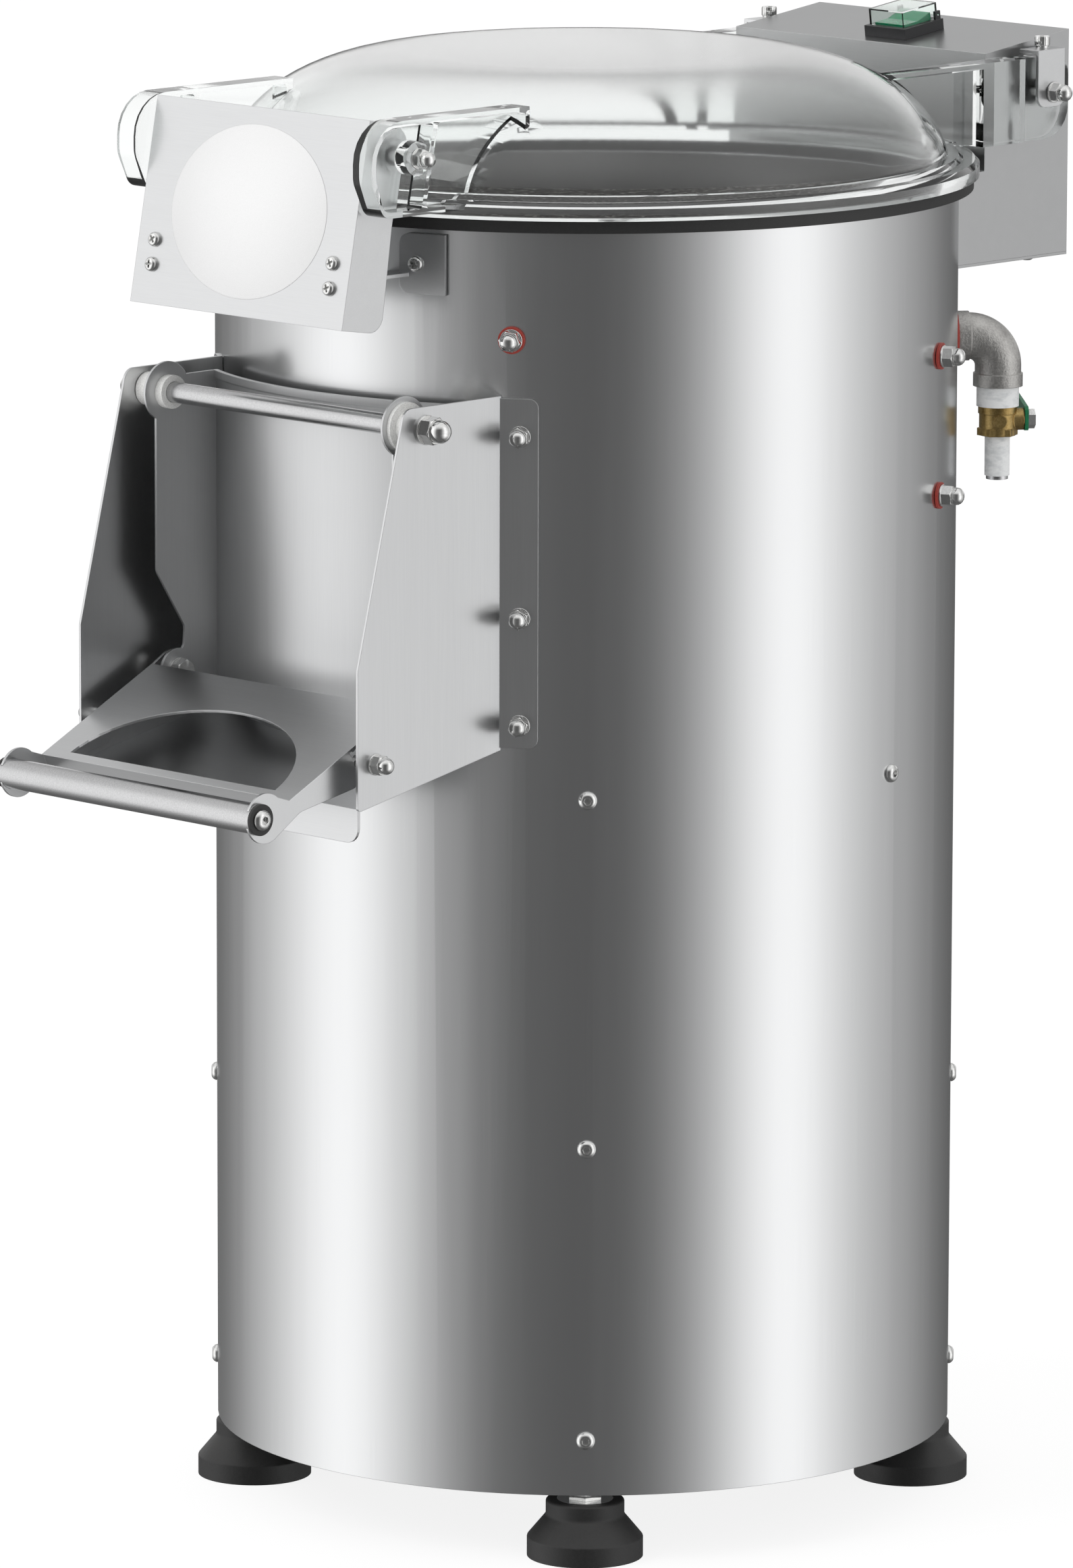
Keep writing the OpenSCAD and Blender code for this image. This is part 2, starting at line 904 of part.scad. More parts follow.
// The disc carries rounded waves and two wipers that sweep peel to the drain
module abrasive_disc() {
  wave_r = disc_r * 0.16;
  wiper_from = housing_flange_r + floor_t;
  color("#57534e")
    difference() {
      union() {
        up(disc_z)
          cylinder(r = disc_r, h = disc_t, $fn = 180);
        intersection() {
          up(disc_z + disc_t / 2)
            cylinder(r = disc_r - disc_edge, h = disc_t + wave_h, $fn = 180);
          for (i = [0 : wave_count - 1])
            rotate([0, 0, i * 360 / wave_count + 30])
              along_x(hub_r + hub_wall, 0, disc_z + disc_t + wave_h - wave_r)
                cylinder(r = wave_r, h = disc_r);
        }
        for (a = [0, 180])
          rotate([0, 0, a])
            translate([wiper_from, -disc_edge, disc_z - hub_h])
              cube([disc_r - wiper_from - 2 * disc_edge, 2 * disc_edge, hub_h + tiny]);
      }
      post(spindle_r, disc_z - over, disc_t / 2 + over);
      post(disc_bolt_r, disc_z, disc_t + over);
    }
}

disc_bolt_r = 6;

module disc_bolt() {
  color(bright)
    up(disc_z + disc_t) {
      post(disc_bolt_r, -disc_t / 2, disc_t / 2 + tiny);
      cylinder(r = hub_r * 0.7, h = hub_gap);
      up(hub_gap)
        hex_prism(2 * disc_bolt_r, disc_bolt_r);
    }
}

// Chute

cheek_brow = 15;
cheek_round = 7;
strip_round = 5;
fold_y = -at_radius(cheek_x - sheet_t, drum_r) - tiny;
toe_y = -drum_r - chute_reach;
toe_z = cheek_low_z - toe_drop;
knee_z = cheek_low_z + cheek_rise * 0.288;
rod_y = -drum_r - rod_out;
brow_y = rod_y - cheek_brow;
pivot_y = -drum_r - pivot_out;
pivot_z = cheek_low_z + pivot_rise;
pin_y = -drum_r - pin_out;
pin_z = cheek_low_z + pin_rise;
rod_stud_r = 4;
rod_nut_share = 1.3;
pin_stud_r = 3;

module cheek_outline() {
  polygon(rounded([
    [fold_y, cheek_low_z, 0], [fold_y, cheek_top_z, 0],
    [brow_y, cheek_top_z, cheek_round], [toe_y, knee_z, cheek_round * 0.6],
    [toe_y, toe_z, cheek_round * 0.3]
  ]));
}

module cheek() {
  inner = -flange_w * 0.6;
  outer = flange_w / 2;
  low = cheek_low_z + sheet_t;
  difference() {
    union() {
      side_plate(cheek_x - sheet_t, sheet_t)
        cheek_outline();
      rotate([0, 0, flange_angle - 90])
        translate([drum_r, 0, 0])
          rotate([90, 0, 90])
            linear_extrude(height = sheet_t)
              polygon(rounded([
                [inner, low, 0], [outer, low, strip_round],
                [outer, cheek_top_z - over, strip_round], [inner, cheek_top_z - over, 0]
              ]));
    }
    at_chute_nuts() drill(hole_r, reach);
    along_x(0, rod_y, rod_z)
      cylinder(r = rod_stud_r + fit, h = 2 * cheek_x);
    along_x(0, pin_y, pin_z)
      cylinder(r = pin_stud_r + fit, h = 2 * cheek_x);
  }
}

module right_cheek() {
  color(steel) cheek();
}

module left_cheek() {
  color(steel) mirror([1, 0, 0]) cheek();
}

module chute_nuts() {
  color(bright)
    at_chute_nuts()
      cap_nut(0.85, 2 * sheet_t + liner_pad * 0.7);
}

// Sheet between the cheeks, bent down into a lip at its front edge
module chute_floor() {
  half = cheek_x - sheet_t - tiny;
  rear_y = fold_y + drum_r * 0.02;
  slope_share = (toe_y - rear_y) / (toe_y - fold_y);
  rear_z = toe_z + toe_drop * slope_share;
  lip_y = toe_y + sheet_t;
  lip_round = lip_drop / 2;
  color(steel)
    difference() {
      union() {
        side_plate(-half, 2 * half)
          polygon([
            [lip_y, toe_z], [rear_y, rear_z],
            [rear_y, rear_z + sheet_t], [lip_y, toe_z + sheet_t]
          ]);
        translate([0, lip_y + sheet_t, 0])
          rotate([90, 0, 0])
            linear_extrude(height = sheet_t)
              polygon(rounded([
                [-half, toe_z + sheet_t, 0], [-half, toe_z - lip_drop, lip_round],
                [half, toe_z - lip_drop, lip_round], [half, toe_z + sheet_t, 0]
              ]));
      }
      cylinder(r = drum_r + tiny, h = rim_z);
    }
}

module catch_pins() {
  inner_x = lever_x - 2 * sheet_t;
  color(bright)
    both_sides()
      along_x(0, pin_y, pin_z) {
        post(pin_r, inner_x, cheek_x - sheet_t - inner_x);
        up(cheek_x)
          cap_nut(0.95, sheet_t + pin_r, pin_stud_r);
      }
}

// Door

door_out_r = drum_r + door_gap;
door_in_r = door_out_r - sheet_t;
bend_y = -at_radius(door_x - sheet_t, door_out_r);
door_sill = 18.4;
door_low_z = cheek_low_z + door_sill;
door_top_z = rod_z + ear_r / 2;
door_lip_h = 5;
door_lip_t = 1;
door_plate_x = door_x - sheet_t;
lower_ear_r = 12;
seal_out_r = door_in_r - gap;
seal_w = 10;
bushing_r = 9;
bushing_in = 5;
bushing_flange_r = 13;
bushing_flange_t = 2.5;
waist_in = 5.5;
waist_lean = 1;
waist_round = 6;
waist_low = 23;
waist_top = 55;

module door_seal() {
  color(rubber)
    difference() {
      intersection() {
        up(opening_low - seal_w)
          ring(seal_out_r, drum_r + tiny, opening_top - opening_low + 2 * seal_w);
        opening_cut(seal_w);
      }
      opening_cut(0);
    }
}

// Side plate of the door: ears for the rod and the lever's bolts, and a waist that clears the
// lever as it folds up
module door_side_outline() {
  front_y = rod_y - ear_r / 2;
  waist_y = pivot_y + waist_in;
  difference() {
    union() {
      translate([rod_y, rod_z])
        circle(r = ear_r);
      translate([pivot_y, pivot_z])
        circle(r = lower_ear_r);
      polygon(rounded([
        [bend_y, door_low_z, 0], [bend_y, door_top_z, sheet_t],
        [rod_y + ear_r * 0.87, door_top_z, 0], [rod_y, rod_z, 0],
        [front_y, rod_z - ear_r * 0.6, 0], [front_y, pivot_z + waist_top, waist_round],
        [waist_y, pivot_z + waist_low, waist_round],
        [waist_y - waist_lean, pivot_z + lower_ear_r, waist_round * 0.66],
        [pivot_y, pivot_z + lower_ear_r * 0.83, 0], [pivot_y, pivot_z - lower_ear_r * 0.83, 0]
      ]));
    }
    translate([rod_y, rod_z])
      circle(r = bushing_r + fit);
    translate([pivot_y, pivot_z])
      circle(r = pivot_r + fit);
  }
}

module door_panel() {
  half_angle = asin((door_x - tiny) / door_out_r);
  color(steel) {
    difference() {
      union() {
        rotate([0, 0, -90 - half_angle])
          rotate_extrude(angle = 2 * half_angle, $fn = 180)
            polygon([
              [door_in_r, door_low_z], [door_out_r, door_low_z],
              [door_out_r, door_top_z - door_lip_h],
              [door_out_r + door_lip_t, door_top_z - door_lip_h + door_lip_t],
              [door_out_r + door_lip_t, door_top_z], [door_in_r, door_top_z]
            ]);
        both_sides()
          side_plate(door_plate_x, sheet_t)
            door_side_outline();
      }
      both_sides()
        translate([door_x, -2 * drum_r, 0])
          cube([drum_r, 2 * drum_r, rim_z]);
    }
  }
}

module door_rod() {
  half = cheek_x - sheet_t - tiny;
  color(bright)
    along_x(0, rod_y, rod_z) {
      post(rod_r, -half, 2 * half);
      post(rod_stud_r, -half - sheet_t - washer_t, 2 * (half + sheet_t + washer_t));
    }
}

module rod_nuts() {
  color(bright)
    both_sides()
      along_x(cheek_x, rod_y, rod_z)
        difference() {
          cap_nut(rod_nut_share);
          post(rod_stud_r, -over, over + washer_t + tiny);
        }
}

// Nylon flange bushes in the door's ears, and the spacers that keep the door centred
module door_bushings() {
  wall_x = cheek_x - sheet_t;
  color("#e8e6e0")
    both_sides()
      along_x(0, rod_y, rod_z)
        difference() {
          union() {
            post(bushing_r, door_plate_x - bushing_in, wall_x - gap - door_plate_x + bushing_in);
            post(bushing_flange_r, door_x, bushing_flange_t);
          }
          cylinder(r = rod_r + fit, h = 2 * cheek_x);
        }
}

pivot_nut_share = 1.17;
pivot_head_h = 3.4;

// Bolts through the door's lower ears that carry the lever
module pivot_bolts() {
  inner_x = door_plate_x - nut_h;
  head_r = washer_r * pivot_nut_share;
  color(bright)
    both_sides()
      along_x(0, pivot_y, pivot_z) {
        post(pivot_r, inner_x, lever_x + pivot_r - inner_x);
        up(door_plate_x - washer_t)
          ring(head_r, pivot_r, washer_t);
        up(inner_x - washer_t)
          hex_prism(nut_r * pivot_nut_share, nut_h);
        up(door_x)
          ring(head_r, pivot_r, lever_x - sheet_t - gap - door_x);
        up(lever_x + gap)
          button_screw(head_r, pivot_head_h, pivot_r, 0);
      }
}

// Lever

function to_lever(p) = turn(p, -lever_slope);

rod_in_lever = to_lever([rod_y - pivot_y, rod_z - pivot_z]);
pin_in_lever = to_lever([pin_y - pivot_y, pin_z - pivot_z]);
pin_swing = norm([rod_y - pin_y, rod_z - pin_z]);
pocket_ease = 0.25;
pocket_r = pin_r + pocket_ease;
pocket = turn(pin_in_lever, -lock_angle);
plate_w = lever_x - sheet_t;
top_w = 10.2;
plate_back = 10.6;
plate_stop = 23.4;
plate_front = lever_len - plate_stop;
lever_ear_r = 11;
lever_round = 2;
lever_return = 9;
cut_edge = 6;
tube_w = 13.8;
nose_r = 13.2;
nose_in = 5;
nose_u = lever_len - nose_in;
nose_w = 11;
belly_in = 4;
belly_w = 0.4;
hook_len = 5;
hook_deep = 10;
hook_heel = 8;

// In the lever's frame the pivot is the origin and -Y runs down along the plate
module lever_frame() {
  translate([0, pivot_y, pivot_z])
    rotate([lever_slope, 0, 0])
      children();
}

// Flange of the lever. Behind the pin its lower edge is an arc round the door rod, so that the
// unlocked lever passes over the pin; in front a wall reaches down
module lever_flange_outline() {
  wall_y = -pin_in_lever[0] + pocket_r;
  difference() {
    union() {
      circle(r = lever_ear_r);
      translate([-nose_u, nose_w])
        circle(r = nose_r);
      intersection() {
        polygon([
          [0, lever_ear_r], [-plate_back, top_w],
          [-wall_y, top_w], [-wall_y, -lever_ear_r],
          [0, -lever_ear_r]
        ]);
        translate(rod_in_lever)
          circle(r = pin_swing - pin_r - gap, $fn = 360);
      }
      polygon(rounded([
        [-wall_y + tiny, top_w, 0], [-plate_front, top_w, 0],
        [-nose_u + nose_r * 0.4, nose_w + nose_r * 0.9, 0], [-nose_u, nose_w - nose_r, 0],
        [belly_in - plate_front, belly_w, hook_deep], [-wall_y - hook_len, -hook_deep, hook_len * 0.6],
        [-wall_y + tiny, -hook_heel, 0]
      ]));
    }
    translate(pocket)
      circle(r = pocket_r);
    translate(pocket - [pocket_r, 4 * pocket_r])
      square([2 * pocket_r, 4 * pocket_r]);
    circle(r = pivot_r + fit);
    translate([-lever_len, tube_w])
      circle(r = tube_r + tiny);
  }
}

// Half-oval cut-out whose points follow the oval's formula
function cut_points(n) =
  [for (i = [0 : n]) [-cut_half * cos(180 * i / n), cut_deep * sin(180 * i / n)]];

module door_lever() {
  color(steel)
    lever_frame() {
      both_sides()
        side_plate(plate_w, sheet_t)
          lever_flange_outline();
      up(top_w - sheet_t)
        difference() {
          linear_extrude(height = sheet_t)
            polygon(rounded([
              [-lever_x, -plate_back, lever_round], [lever_x, -plate_back, lever_round],
              [lever_x, -plate_front, lever_round], [-lever_x, -plate_front, lever_round]
            ]));
          translate([0, cut_edge - plate_front, -over])
            linear_extrude(height = sheet_t + 2 * over)
              polygon(cut_points(28));
        }
      translate([-plate_w, -plate_front, top_w - lever_return])
        cube([2 * plate_w, sheet_t, lever_return]);
    }
}

module handle_tube() {
  color(bright)
    lever_frame()
      along_x(-tube_half, -lever_len, tube_w)
        ring(tube_r, tube_r - sheet_t, 2 * tube_half);
}

module handle_caps() {
  color(rubber)
    lever_frame()
      both_sides()
        along_x(tube_half, -lever_len, tube_w)
          difference() {
            union() {
              cylinder(r = tube_r + gap, h = cap_t);
              post(tube_r - sheet_t, -cap_plug, cap_plug + tiny);
            }
            bore(handle_screw_r + fit, -cap_plug, cap_plug + cap_t);
          }
}

cap_t = 1.8;
cap_plug = 6;
handle_screw_r = 2.5;

module handle_screws() {
  color(bright)
    lever_frame()
      both_sides()
        along_x(tube_half + cap_t, -lever_len, tube_w)
          button_screw(tube_r * 0.7, button_h, handle_screw_r, cap_plug + over);
}

// Lid

seal_z = rim_z + gap;
flange_z = seal_z + seal_t;
flange_top_z = flange_z + lid_flange_t;
hinge_y = drum_r + hinge_out;
hinge_z = rim_z + hinge_rise;
arm_t = 14;
arm_gap = 1;
arm_rise = 19.5;
arm_drop = 26;
arm_past = 17.6;
arm_slot = 3;
arm_round = 18;
boss_r = 9;
arm_in_x = box_x + arm_gap;
arm_web_x = arm_in_x + 2 * arm_slot;
arm_out_x = arm_in_x + arm_t;
arm_end_x = arm_out_x - arm_slot;
arm_top_z = hinge_z + arm_rise;
arm_low_z = hinge_z - arm_drop;
arm_end_y = hinge_y + arm_past;

// In section the dome is an oval whose centre lies dome_sink below the flange's top
dome_sink = 8;
lid_edge = 2.5;
oval_h = dome_rise + dome_sink;
oval_w = (dome_r - crown_r) / cos(asin(dome_sink / oval_h));

function dome_points(inset, n) =
  let(from = asin((dome_sink + lid_edge) / oval_h))
  [for (i = [0 : n])
    let(a = from + (90 - from) * i / n)
    [crown_r + (oval_w - inset) * cos(a), (oval_h - inset) * sin(a) - dome_sink]];

module dome_outer() {
  up(flange_top_z)
    rotate_extrude($fn = 180)
      polygon(concat(
        [
          [0, -lid_flange_t], [lid_r, -lid_flange_t],
          [lid_r, -lid_edge], [lid_r - lid_edge, 0],
          [dome_r + 3 * lid_edge, 0], [dome_r + 2 * lid_edge, lid_edge]
        ],
        dome_points(0, 18),
        [[0, dome_rise]]
      ));
}

module dome_inner() {
  low = -lid_flange_t - over;
  points = dome_points(lid_t, 18);
  up(flange_top_z)
    rotate_extrude($fn = 180)
      polygon(concat(
        [[0, low], [points[0][0], low]],
        points,
        [[0, dome_rise - lid_t]]
      ));
}

// Rear arm: a web, a thick block, a slot and the end round the hinge pin
module lid_arm() {
  block_from = drum_r * 0.98;
  block_to = hinge_y - arm_past - arm_slot;
  end_round = arm_round * 2 / 3;
  side_plate(arm_in_x, arm_web_x - arm_in_x)
    polygon(rounded([
      [dome_r * 0.62, arm_low_z + arm_gap, 0], [arm_end_y, arm_low_z, arm_round],
      [arm_end_y, arm_top_z, end_round], [dome_r * 0.62, arm_top_z - arm_gap, 0]
    ]));
  translate([arm_in_x, block_from, arm_low_z])
    cube([arm_t, block_to - block_from, arm_top_z - arm_low_z - arm_slot]);
  side_plate(arm_in_x, arm_end_x - arm_in_x)
    polygon(rounded([
      [block_to + arm_slot, arm_low_z, 0], [arm_end_y, arm_low_z, arm_round],
      [arm_end_y, arm_top_z, end_round], [block_to + arm_slot, arm_top_z, 0]
    ]));
  translate([arm_in_x, dome_r * 0.62, arm_top_z - arm_slot])
    cube([arm_t, block_to - dome_r * 0.62, arm_slot]);
  along_x(arm_end_x, hinge_y, hinge_z)
    cylinder(r = boss_r, h = bracket_in_x - arm_end_x);
}

lug_gap = 2;
lug_t = 14;
lug_wall = 3;
lug_reach = 36;
lug_rise = 21;
lug_sink = 4;
lug_round = 22;
lug_in_x = latch_x + lug_gap;
lug_out_x = lug_in_x + lug_t;
latch_y = -drum_r - latch_out;
latch_z = rim_z + latch_rise;
lug_front_y = latch_y - lug_reach;
lug_top_z = latch_z + lug_rise;
lug_low_z = flange_top_z - lug_sink;

// Front lug: a pocketed side with a rounded nose and a boss for the latch bolt
module lid_lug() {
  back_y = -dome_r * 0.72;
  chin_y = lug_front_y + lug_round * 0.4;
  chin_z = lug_low_z + lug_round * 0.85;
  low_z = lug_low_z + lug_wall;
  high_z = lug_top_z - lug_wall;
  inner_y = lug_front_y + lug_wall;
  difference() {
    side_plate(lug_in_x, lug_t)
      polygon(rounded([
        [back_y, lug_low_z, 0], [chin_y, lug_low_z, lug_round * 0.35],
        [lug_front_y, chin_z, lug_round * 0.6], [lug_front_y, lug_top_z, lug_round],
        [back_y, lug_top_z, 0]
      ]));
    side_plate(lug_in_x + lug_wall, lug_t)
      polygon(rounded([
        [back_y - lug_wall, low_z, lug_gap], [latch_y + lug_wall, low_z, lug_gap],
        [latch_y + 4 * lug_wall, high_z, lug_gap], [back_y - lug_wall, high_z, lug_gap]
      ]));
    side_plate(lug_in_x + lug_wall, lug_t)
      polygon(rounded([
        [latch_y, low_z, lug_gap], [chin_y, low_z, lug_round * 0.3],
        [inner_y, chin_z + lug_gap, lug_round * 0.5], [inner_y, high_z, lug_round - lug_wall],
        [latch_y + 3 * lug_wall, high_z, lug_gap]
      ]));
  }
  along_x(lug_in_x, latch_y, latch_z)
    cylinder(r = boss_r, h = lug_t - lug_wall);
}

module lid_cover() {
  color(clear)
    difference() {
      union() {
        dome_outer();
        both_sides() {
          lid_arm();
          lid_lug();
        }
      }
      dome_inner();
      both_sides() {
        along_x(0, hinge_y, hinge_z)
          cylinder(r = hinge_r + fit, h = 2 * arm_out_x);
        along_x(lug_in_x - over, latch_y, latch_z)
          cylinder(r = latch_r + fit, h = lug_out_x);
        translate([hinge_screw_x, hinge_screw_y, hinge_screw_z - over])
          cylinder(r = hinge_screw_r + fit, h = box_rise);
      }
    }
}

module lid_seal() {
  color(rubber)
    up(seal_z)
      ring(lid_r - 2 * sheet_t, drum_r - rim_w + sheet_t, seal_t - tiny);
}

// Hinge brackets over the arms' ends

bracket_t = 2;
bracket_half = 10.7;
bracket_drop = 8;
bracket_in_x = arm_out_x;
bracket_out_x = bracket_in_x + bracket_t;
bracket_mid_y = hinge_y - sheet_t;
bracket_low_z = hinge_z - bracket_drop;
bracket_top_z = arm_top_z + 2 * bracket_t;
hinge_screw_x = arm_in_x + arm_t * 0.57;
hinge_screw_y = bracket_mid_y + arm_gap;
hinge_screw_r = 2.5;
hinge_screw_head = [4.25, 5];
hinge_washer = [3.6, 1.6];
hinge_screw_z = hinge_z + hinge_r + 4 * arm_gap;

module hinge_brackets() {
  low_round = bracket_drop * 0.75;
  flange_in_x = arm_in_x + bracket_t;
  color(steel)
    both_sides()
      difference() {
        union() {
          side_plate(bracket_in_x, bracket_out_x - bracket_in_x)
            polygon(rounded([
              [bracket_mid_y - bracket_half, bracket_top_z, 0],
              [bracket_mid_y - bracket_half, bracket_low_z, low_round],
              [bracket_mid_y + bracket_half, bracket_low_z, low_round],
              [bracket_mid_y + bracket_half, bracket_top_z, 0]
            ]));
          translate([flange_in_x, bracket_mid_y - bracket_half, bracket_top_z - bracket_t])
            cube([bracket_out_x - flange_in_x, 2 * bracket_half, bracket_t]);
        }
        along_x(0, hinge_y, hinge_z)
          cylinder(r = hinge_r + fit, h = 2 * bracket_out_x);
        translate([hinge_screw_x, hinge_screw_y, arm_top_z])
          cylinder(r = hinge_screw_r + fit, h = box_rise);
      }
}

module hinge_screws() {
  color(bright)
    both_sides()
      translate([hinge_screw_x, hinge_screw_y, 0]) {
        post(hinge_washer[0], bracket_top_z, hinge_washer[1]);
        up(bracket_top_z + hinge_washer[1])
          socket_screw(
            hinge_screw_head[0],
            hinge_screw_head[1],
            hinge_screw_r,
            bracket_top_z + hinge_washer[1] - hinge_screw_z
          );
        up(arm_top_z)
          ring(hinge_washer[0], hinge_screw_r, bracket_top_z - bracket_t - arm_top_z);
      }
}

module hinge_pins() {
  inner_x = box_x - sheet_t - nut_h;
  color(bright)
    both_sides()
      along_x(0, hinge_y, hinge_z) {
        post(hinge_r, inner_x, bracket_out_x + gap - inner_x + tiny);
        up(bracket_out_x + gap)
          cap_nut(0.95);
        up(inner_x - tiny)
          hex_prism(nut_r, nut_h);
      }
}

// Latch

module latch_frame() {
  translate([0, latch_y, latch_z])
    rotate([-latch_lean, 0, 0])
      children();
}

latch_top = 16.1;
latch_low = latch_top - latch_len;
latch_round = 6;
latch_back = 3.8;
latch_return = 8;
latch_screw_x = 67;
latch_screw_r = 2;
latch_screw_head = [4, 2.8];
latch_screw_tail = 4;
latch_screw_rises = [latch_len * 0.19, latch_len * 0.31];
catch_t = 2;
catch_screw_r = 2.5;
catch_screw_head = [4.4, 3];

module latch_plate() {
  face_y = -latch_deep;
  color(steel)
    latch_frame()
      difference() {
        union() {
          translate([-latch_x, face_y, latch_low])
            cube([2 * latch_x, sheet_t, latch_len]);
          both_sides()
            side_plate(latch_x - sheet_t, sheet_t)
              difference() {
                union() {
                  polygon(rounded([
                    [face_y, latch_top, 0], [face_y, latch_low, 0],
                    [latch_back, latch_low + over, boss_r], [over, latch_low * 0.4, latch_round],
                    [over, 0, 0], [2 * over, latch_top - latch_round, latch_round],
                    [-latch_round, latch_top, latch_round / 2]
                  ]));
                  circle(r = boss_r);
                }
                circle(r = latch_r + fit);
              }
          translate([-latch_x, face_y, latch_top - sheet_t])
            cube([2 * latch_x, latch_return, sheet_t]);
        }
        for (x = [-latch_screw_x, latch_screw_x])
          for (rise = latch_screw_rises)
            translate([x, face_y + over + sheet_t, latch_low + rise])
              rotate([90, 0, 0])
                cylinder(r = latch_screw_r + fit, h = sheet_t + 2 * over);
      }
}

module latch_screws() {
  color(bright)
    latch_frame()
      for (x = [-latch_screw_x, latch_screw_x])
        for (rise = latch_screw_rises)
          translate([x, -latch_deep, latch_low + rise])
            rotate([90, 0, 0])
              pan_screw(
                latch_screw_head[0],
                latch_screw_head[1],
                latch_screw_r,
                sheet_t + latch_screw_tail
              );
}

// Where the clip's hook meets the ledge of the catch, worked out from the locked pose
ledge_out = 19;
ledge_drop = 7;
hook_ease = 0.6;
ledge_z = catch_z - ledge_drop;
ledge_y = -drum_r - ledge_out;
hook_at = turn([ledge_y - latch_y - hook_ease, ledge_z - hook_ease - latch_z], latch_lean);
clip_t = 2;
clip_w = 10;
clip_x = 48;
clip_edge = 5.5;
hook_h = 6;

// Sheet clips behind the latch plate: the screwed plate and the arm that ends in a hook
module latch_clips() {
  plate_y = sheet_t - latch_deep;
  low = hook_at[1] - 1.5 * hook_h;
  color(steel)
    latch_frame()
      both_sides()
        difference() {
          union() {
            translate([clip_x, plate_y, low])
              cube([latch_screw_x + clip_edge - clip_x, clip_t, latch_low + latch_len * 0.4 - low]);
            side_plate(clip_x, clip_w)
              polygon([
                [plate_y, low], [hook_at[0] - clip_t, low],
                [hook_at[0], low + hook_h / 2], hook_at,
                [hook_at[0] - 2 * clip_t, hook_at[1]], [hook_at[0] - hook_h, low + hook_h / 2],
                [plate_y, low + hook_h / 2]
              ]);
          }
          for (rise = latch_screw_rises)
            translate([latch_screw_x, 0, latch_low + rise])
              rotate([90, 0, 0])
                cylinder(r = latch_screw_r + fit, h = 2 * latch_deep);
        }
}

module latch_bolts() {
  color(bright)
    both_sides()
      along_x(0, latch_y, latch_z) {
        post(latch_r, latch_x - sheet_t - lug_gap, lug_out_x - latch_x + lug_gap);
        post(button_r, latch_x - sheet_t - gap - button_h, button_h);
        up(lug_out_x - lug_wall)
          cap_nut(0.9);
      }
}

catch_in = 10;
catch_out = 17;
catch_high = 32;
catch_round = 6;

// Catch on the drum: a plate with a ledge that the hooks reach under
module catch_brackets() {
  color(steel)
    for (side = [0, 1])
      mirror([side, 0, 0]) {
        difference() {
          union() {
            on_drum(catch_angle, catch_z)
              linear_extrude(height = catch_t)
                polygon(rounded([
                  [-catch_high / 2, -catch_in, catch_round], [catch_high / 2, -catch_in, catch_round],
                  [catch_high / 2, catch_out, 0], [-catch_high / 2, catch_out, 0]
                ]));
            translate([clip_x - clip_t, ledge_y, ledge_z])
              cube([clip_w + 2 * clip_t, -ledge_y - at_radius(clip_x + clip_w, drum_r), catch_t]);
          }
          cylinder(r = drum_r + tiny, h = rim_z);
          at_catch_screws() drill(catch_screw_r + fit, 4 * catch_t);
        }
      }
}

module catch_screws() {
  color(bright)
    at_catch_screws()
      pan_screw(
        catch_screw_head[0],
        catch_screw_head[1],
        catch_screw_r,
        catch_t + sheet_t + latch_screw_tail
      );
}

// Control box

box_back_y = drum_r + box_out;
box_top_z = rim_z + box_rise;
box_low_z = rim_z - box_drop;
box_gap = 2.5;
box_front_y = lid_r + box_gap;
box_brow_z = box_top_z - (box_back_y - box_front_y) * tan(box_slope);
box_step = 3;
box_step_z = rim_z - box_step;

module box_outline(inset) {
  polygon([
    [0, box_low_z - (inset > 0 ? over : 0)],
    [box_back_y - inset, box_low_z - (inset > 0 ? over : 0)],
    [box_back_y - inset, box_top_z - inset], [box_front_y + inset, box_brow_z - inset],
    [box_front_y + inset, box_step_z - inset], [0, box_step_z - inset]
  ]);
}

module control_box() {
  color(steel)
    difference() {
      side_plate(-box_x, 2 * box_x)
        box_outline(0);
      cylinder(r = drum_r + tiny, h = 2 * rim_z);
      difference() {
        side_plate(-box_x + sheet_t, 2 * (box_x - sheet_t))
          box_outline(sheet_t);
        cylinder(r = drum_r + sheet_t, h = 2 * rim_z);
      }
      both_sides() {
        along_x(0, hinge_y, hinge_z)
          cylinder(r = hinge_r + fit, h = 2 * box_x);
        at_box_side_screw() drill(box_screw_r + fit, 2 * sheet_t);
      }
      switch_frame()
        translate([switch_wall - bezel_w / 2, switch_wall - bezel_d / 2, -bezel_h])
          cube([bezel_w - 2 * switch_wall, bezel_d - 2 * switch_wall, 2 * bezel_h]);
      at_gland() drill(gland_r + fit, 2 * sheet_t);
    }
}

box_screw_r = 2;
box_screw_head = [4, 2.6];
box_screw_tail = 4;
box_screw_in = 12;
box_screw_ys = [at_radius(box_x, drum_r) + 1.7 * box_screw_in, box_back_y - 1.6 * box_screw_in];

module at_box_side_screw() {
  along_x(box_x, box_back_y - box_screw_in / 2, hinge_z + box_screw_in / 2)
    children();
}

module at_box_low_screws() {
  both_sides()
    for (y = box_screw_ys)
      translate([box_x - box_screw_in, y, box_low_z - sheet_t])
        children();
}

module box_bottom() {
  color(steel)
    difference() {
      translate([-box_x, 0, box_low_z - sheet_t])
        cube([2 * box_x, box_back_y, sheet_t - tiny]);
      cylinder(r = drum_r + tiny, h = rim_z);
      at_box_low_screws() bore(box_screw_r + fit, 0, sheet_t);
    }
}

module box_screw() {
  button_screw(box_screw_head[0], box_screw_head[1], box_screw_r, sheet_t + box_screw_tail);
}

module box_screws() {
  color(bright) {
    at_box_low_screws()
      mirror([0, 0, 1])
        box_screw();
    both_sides()
      at_box_side_screw()
        box_screw();
  }
}

contactor_size = [45, 48, 42];
terminal_size = [24, 48, 16];
terminal_gap = 7;

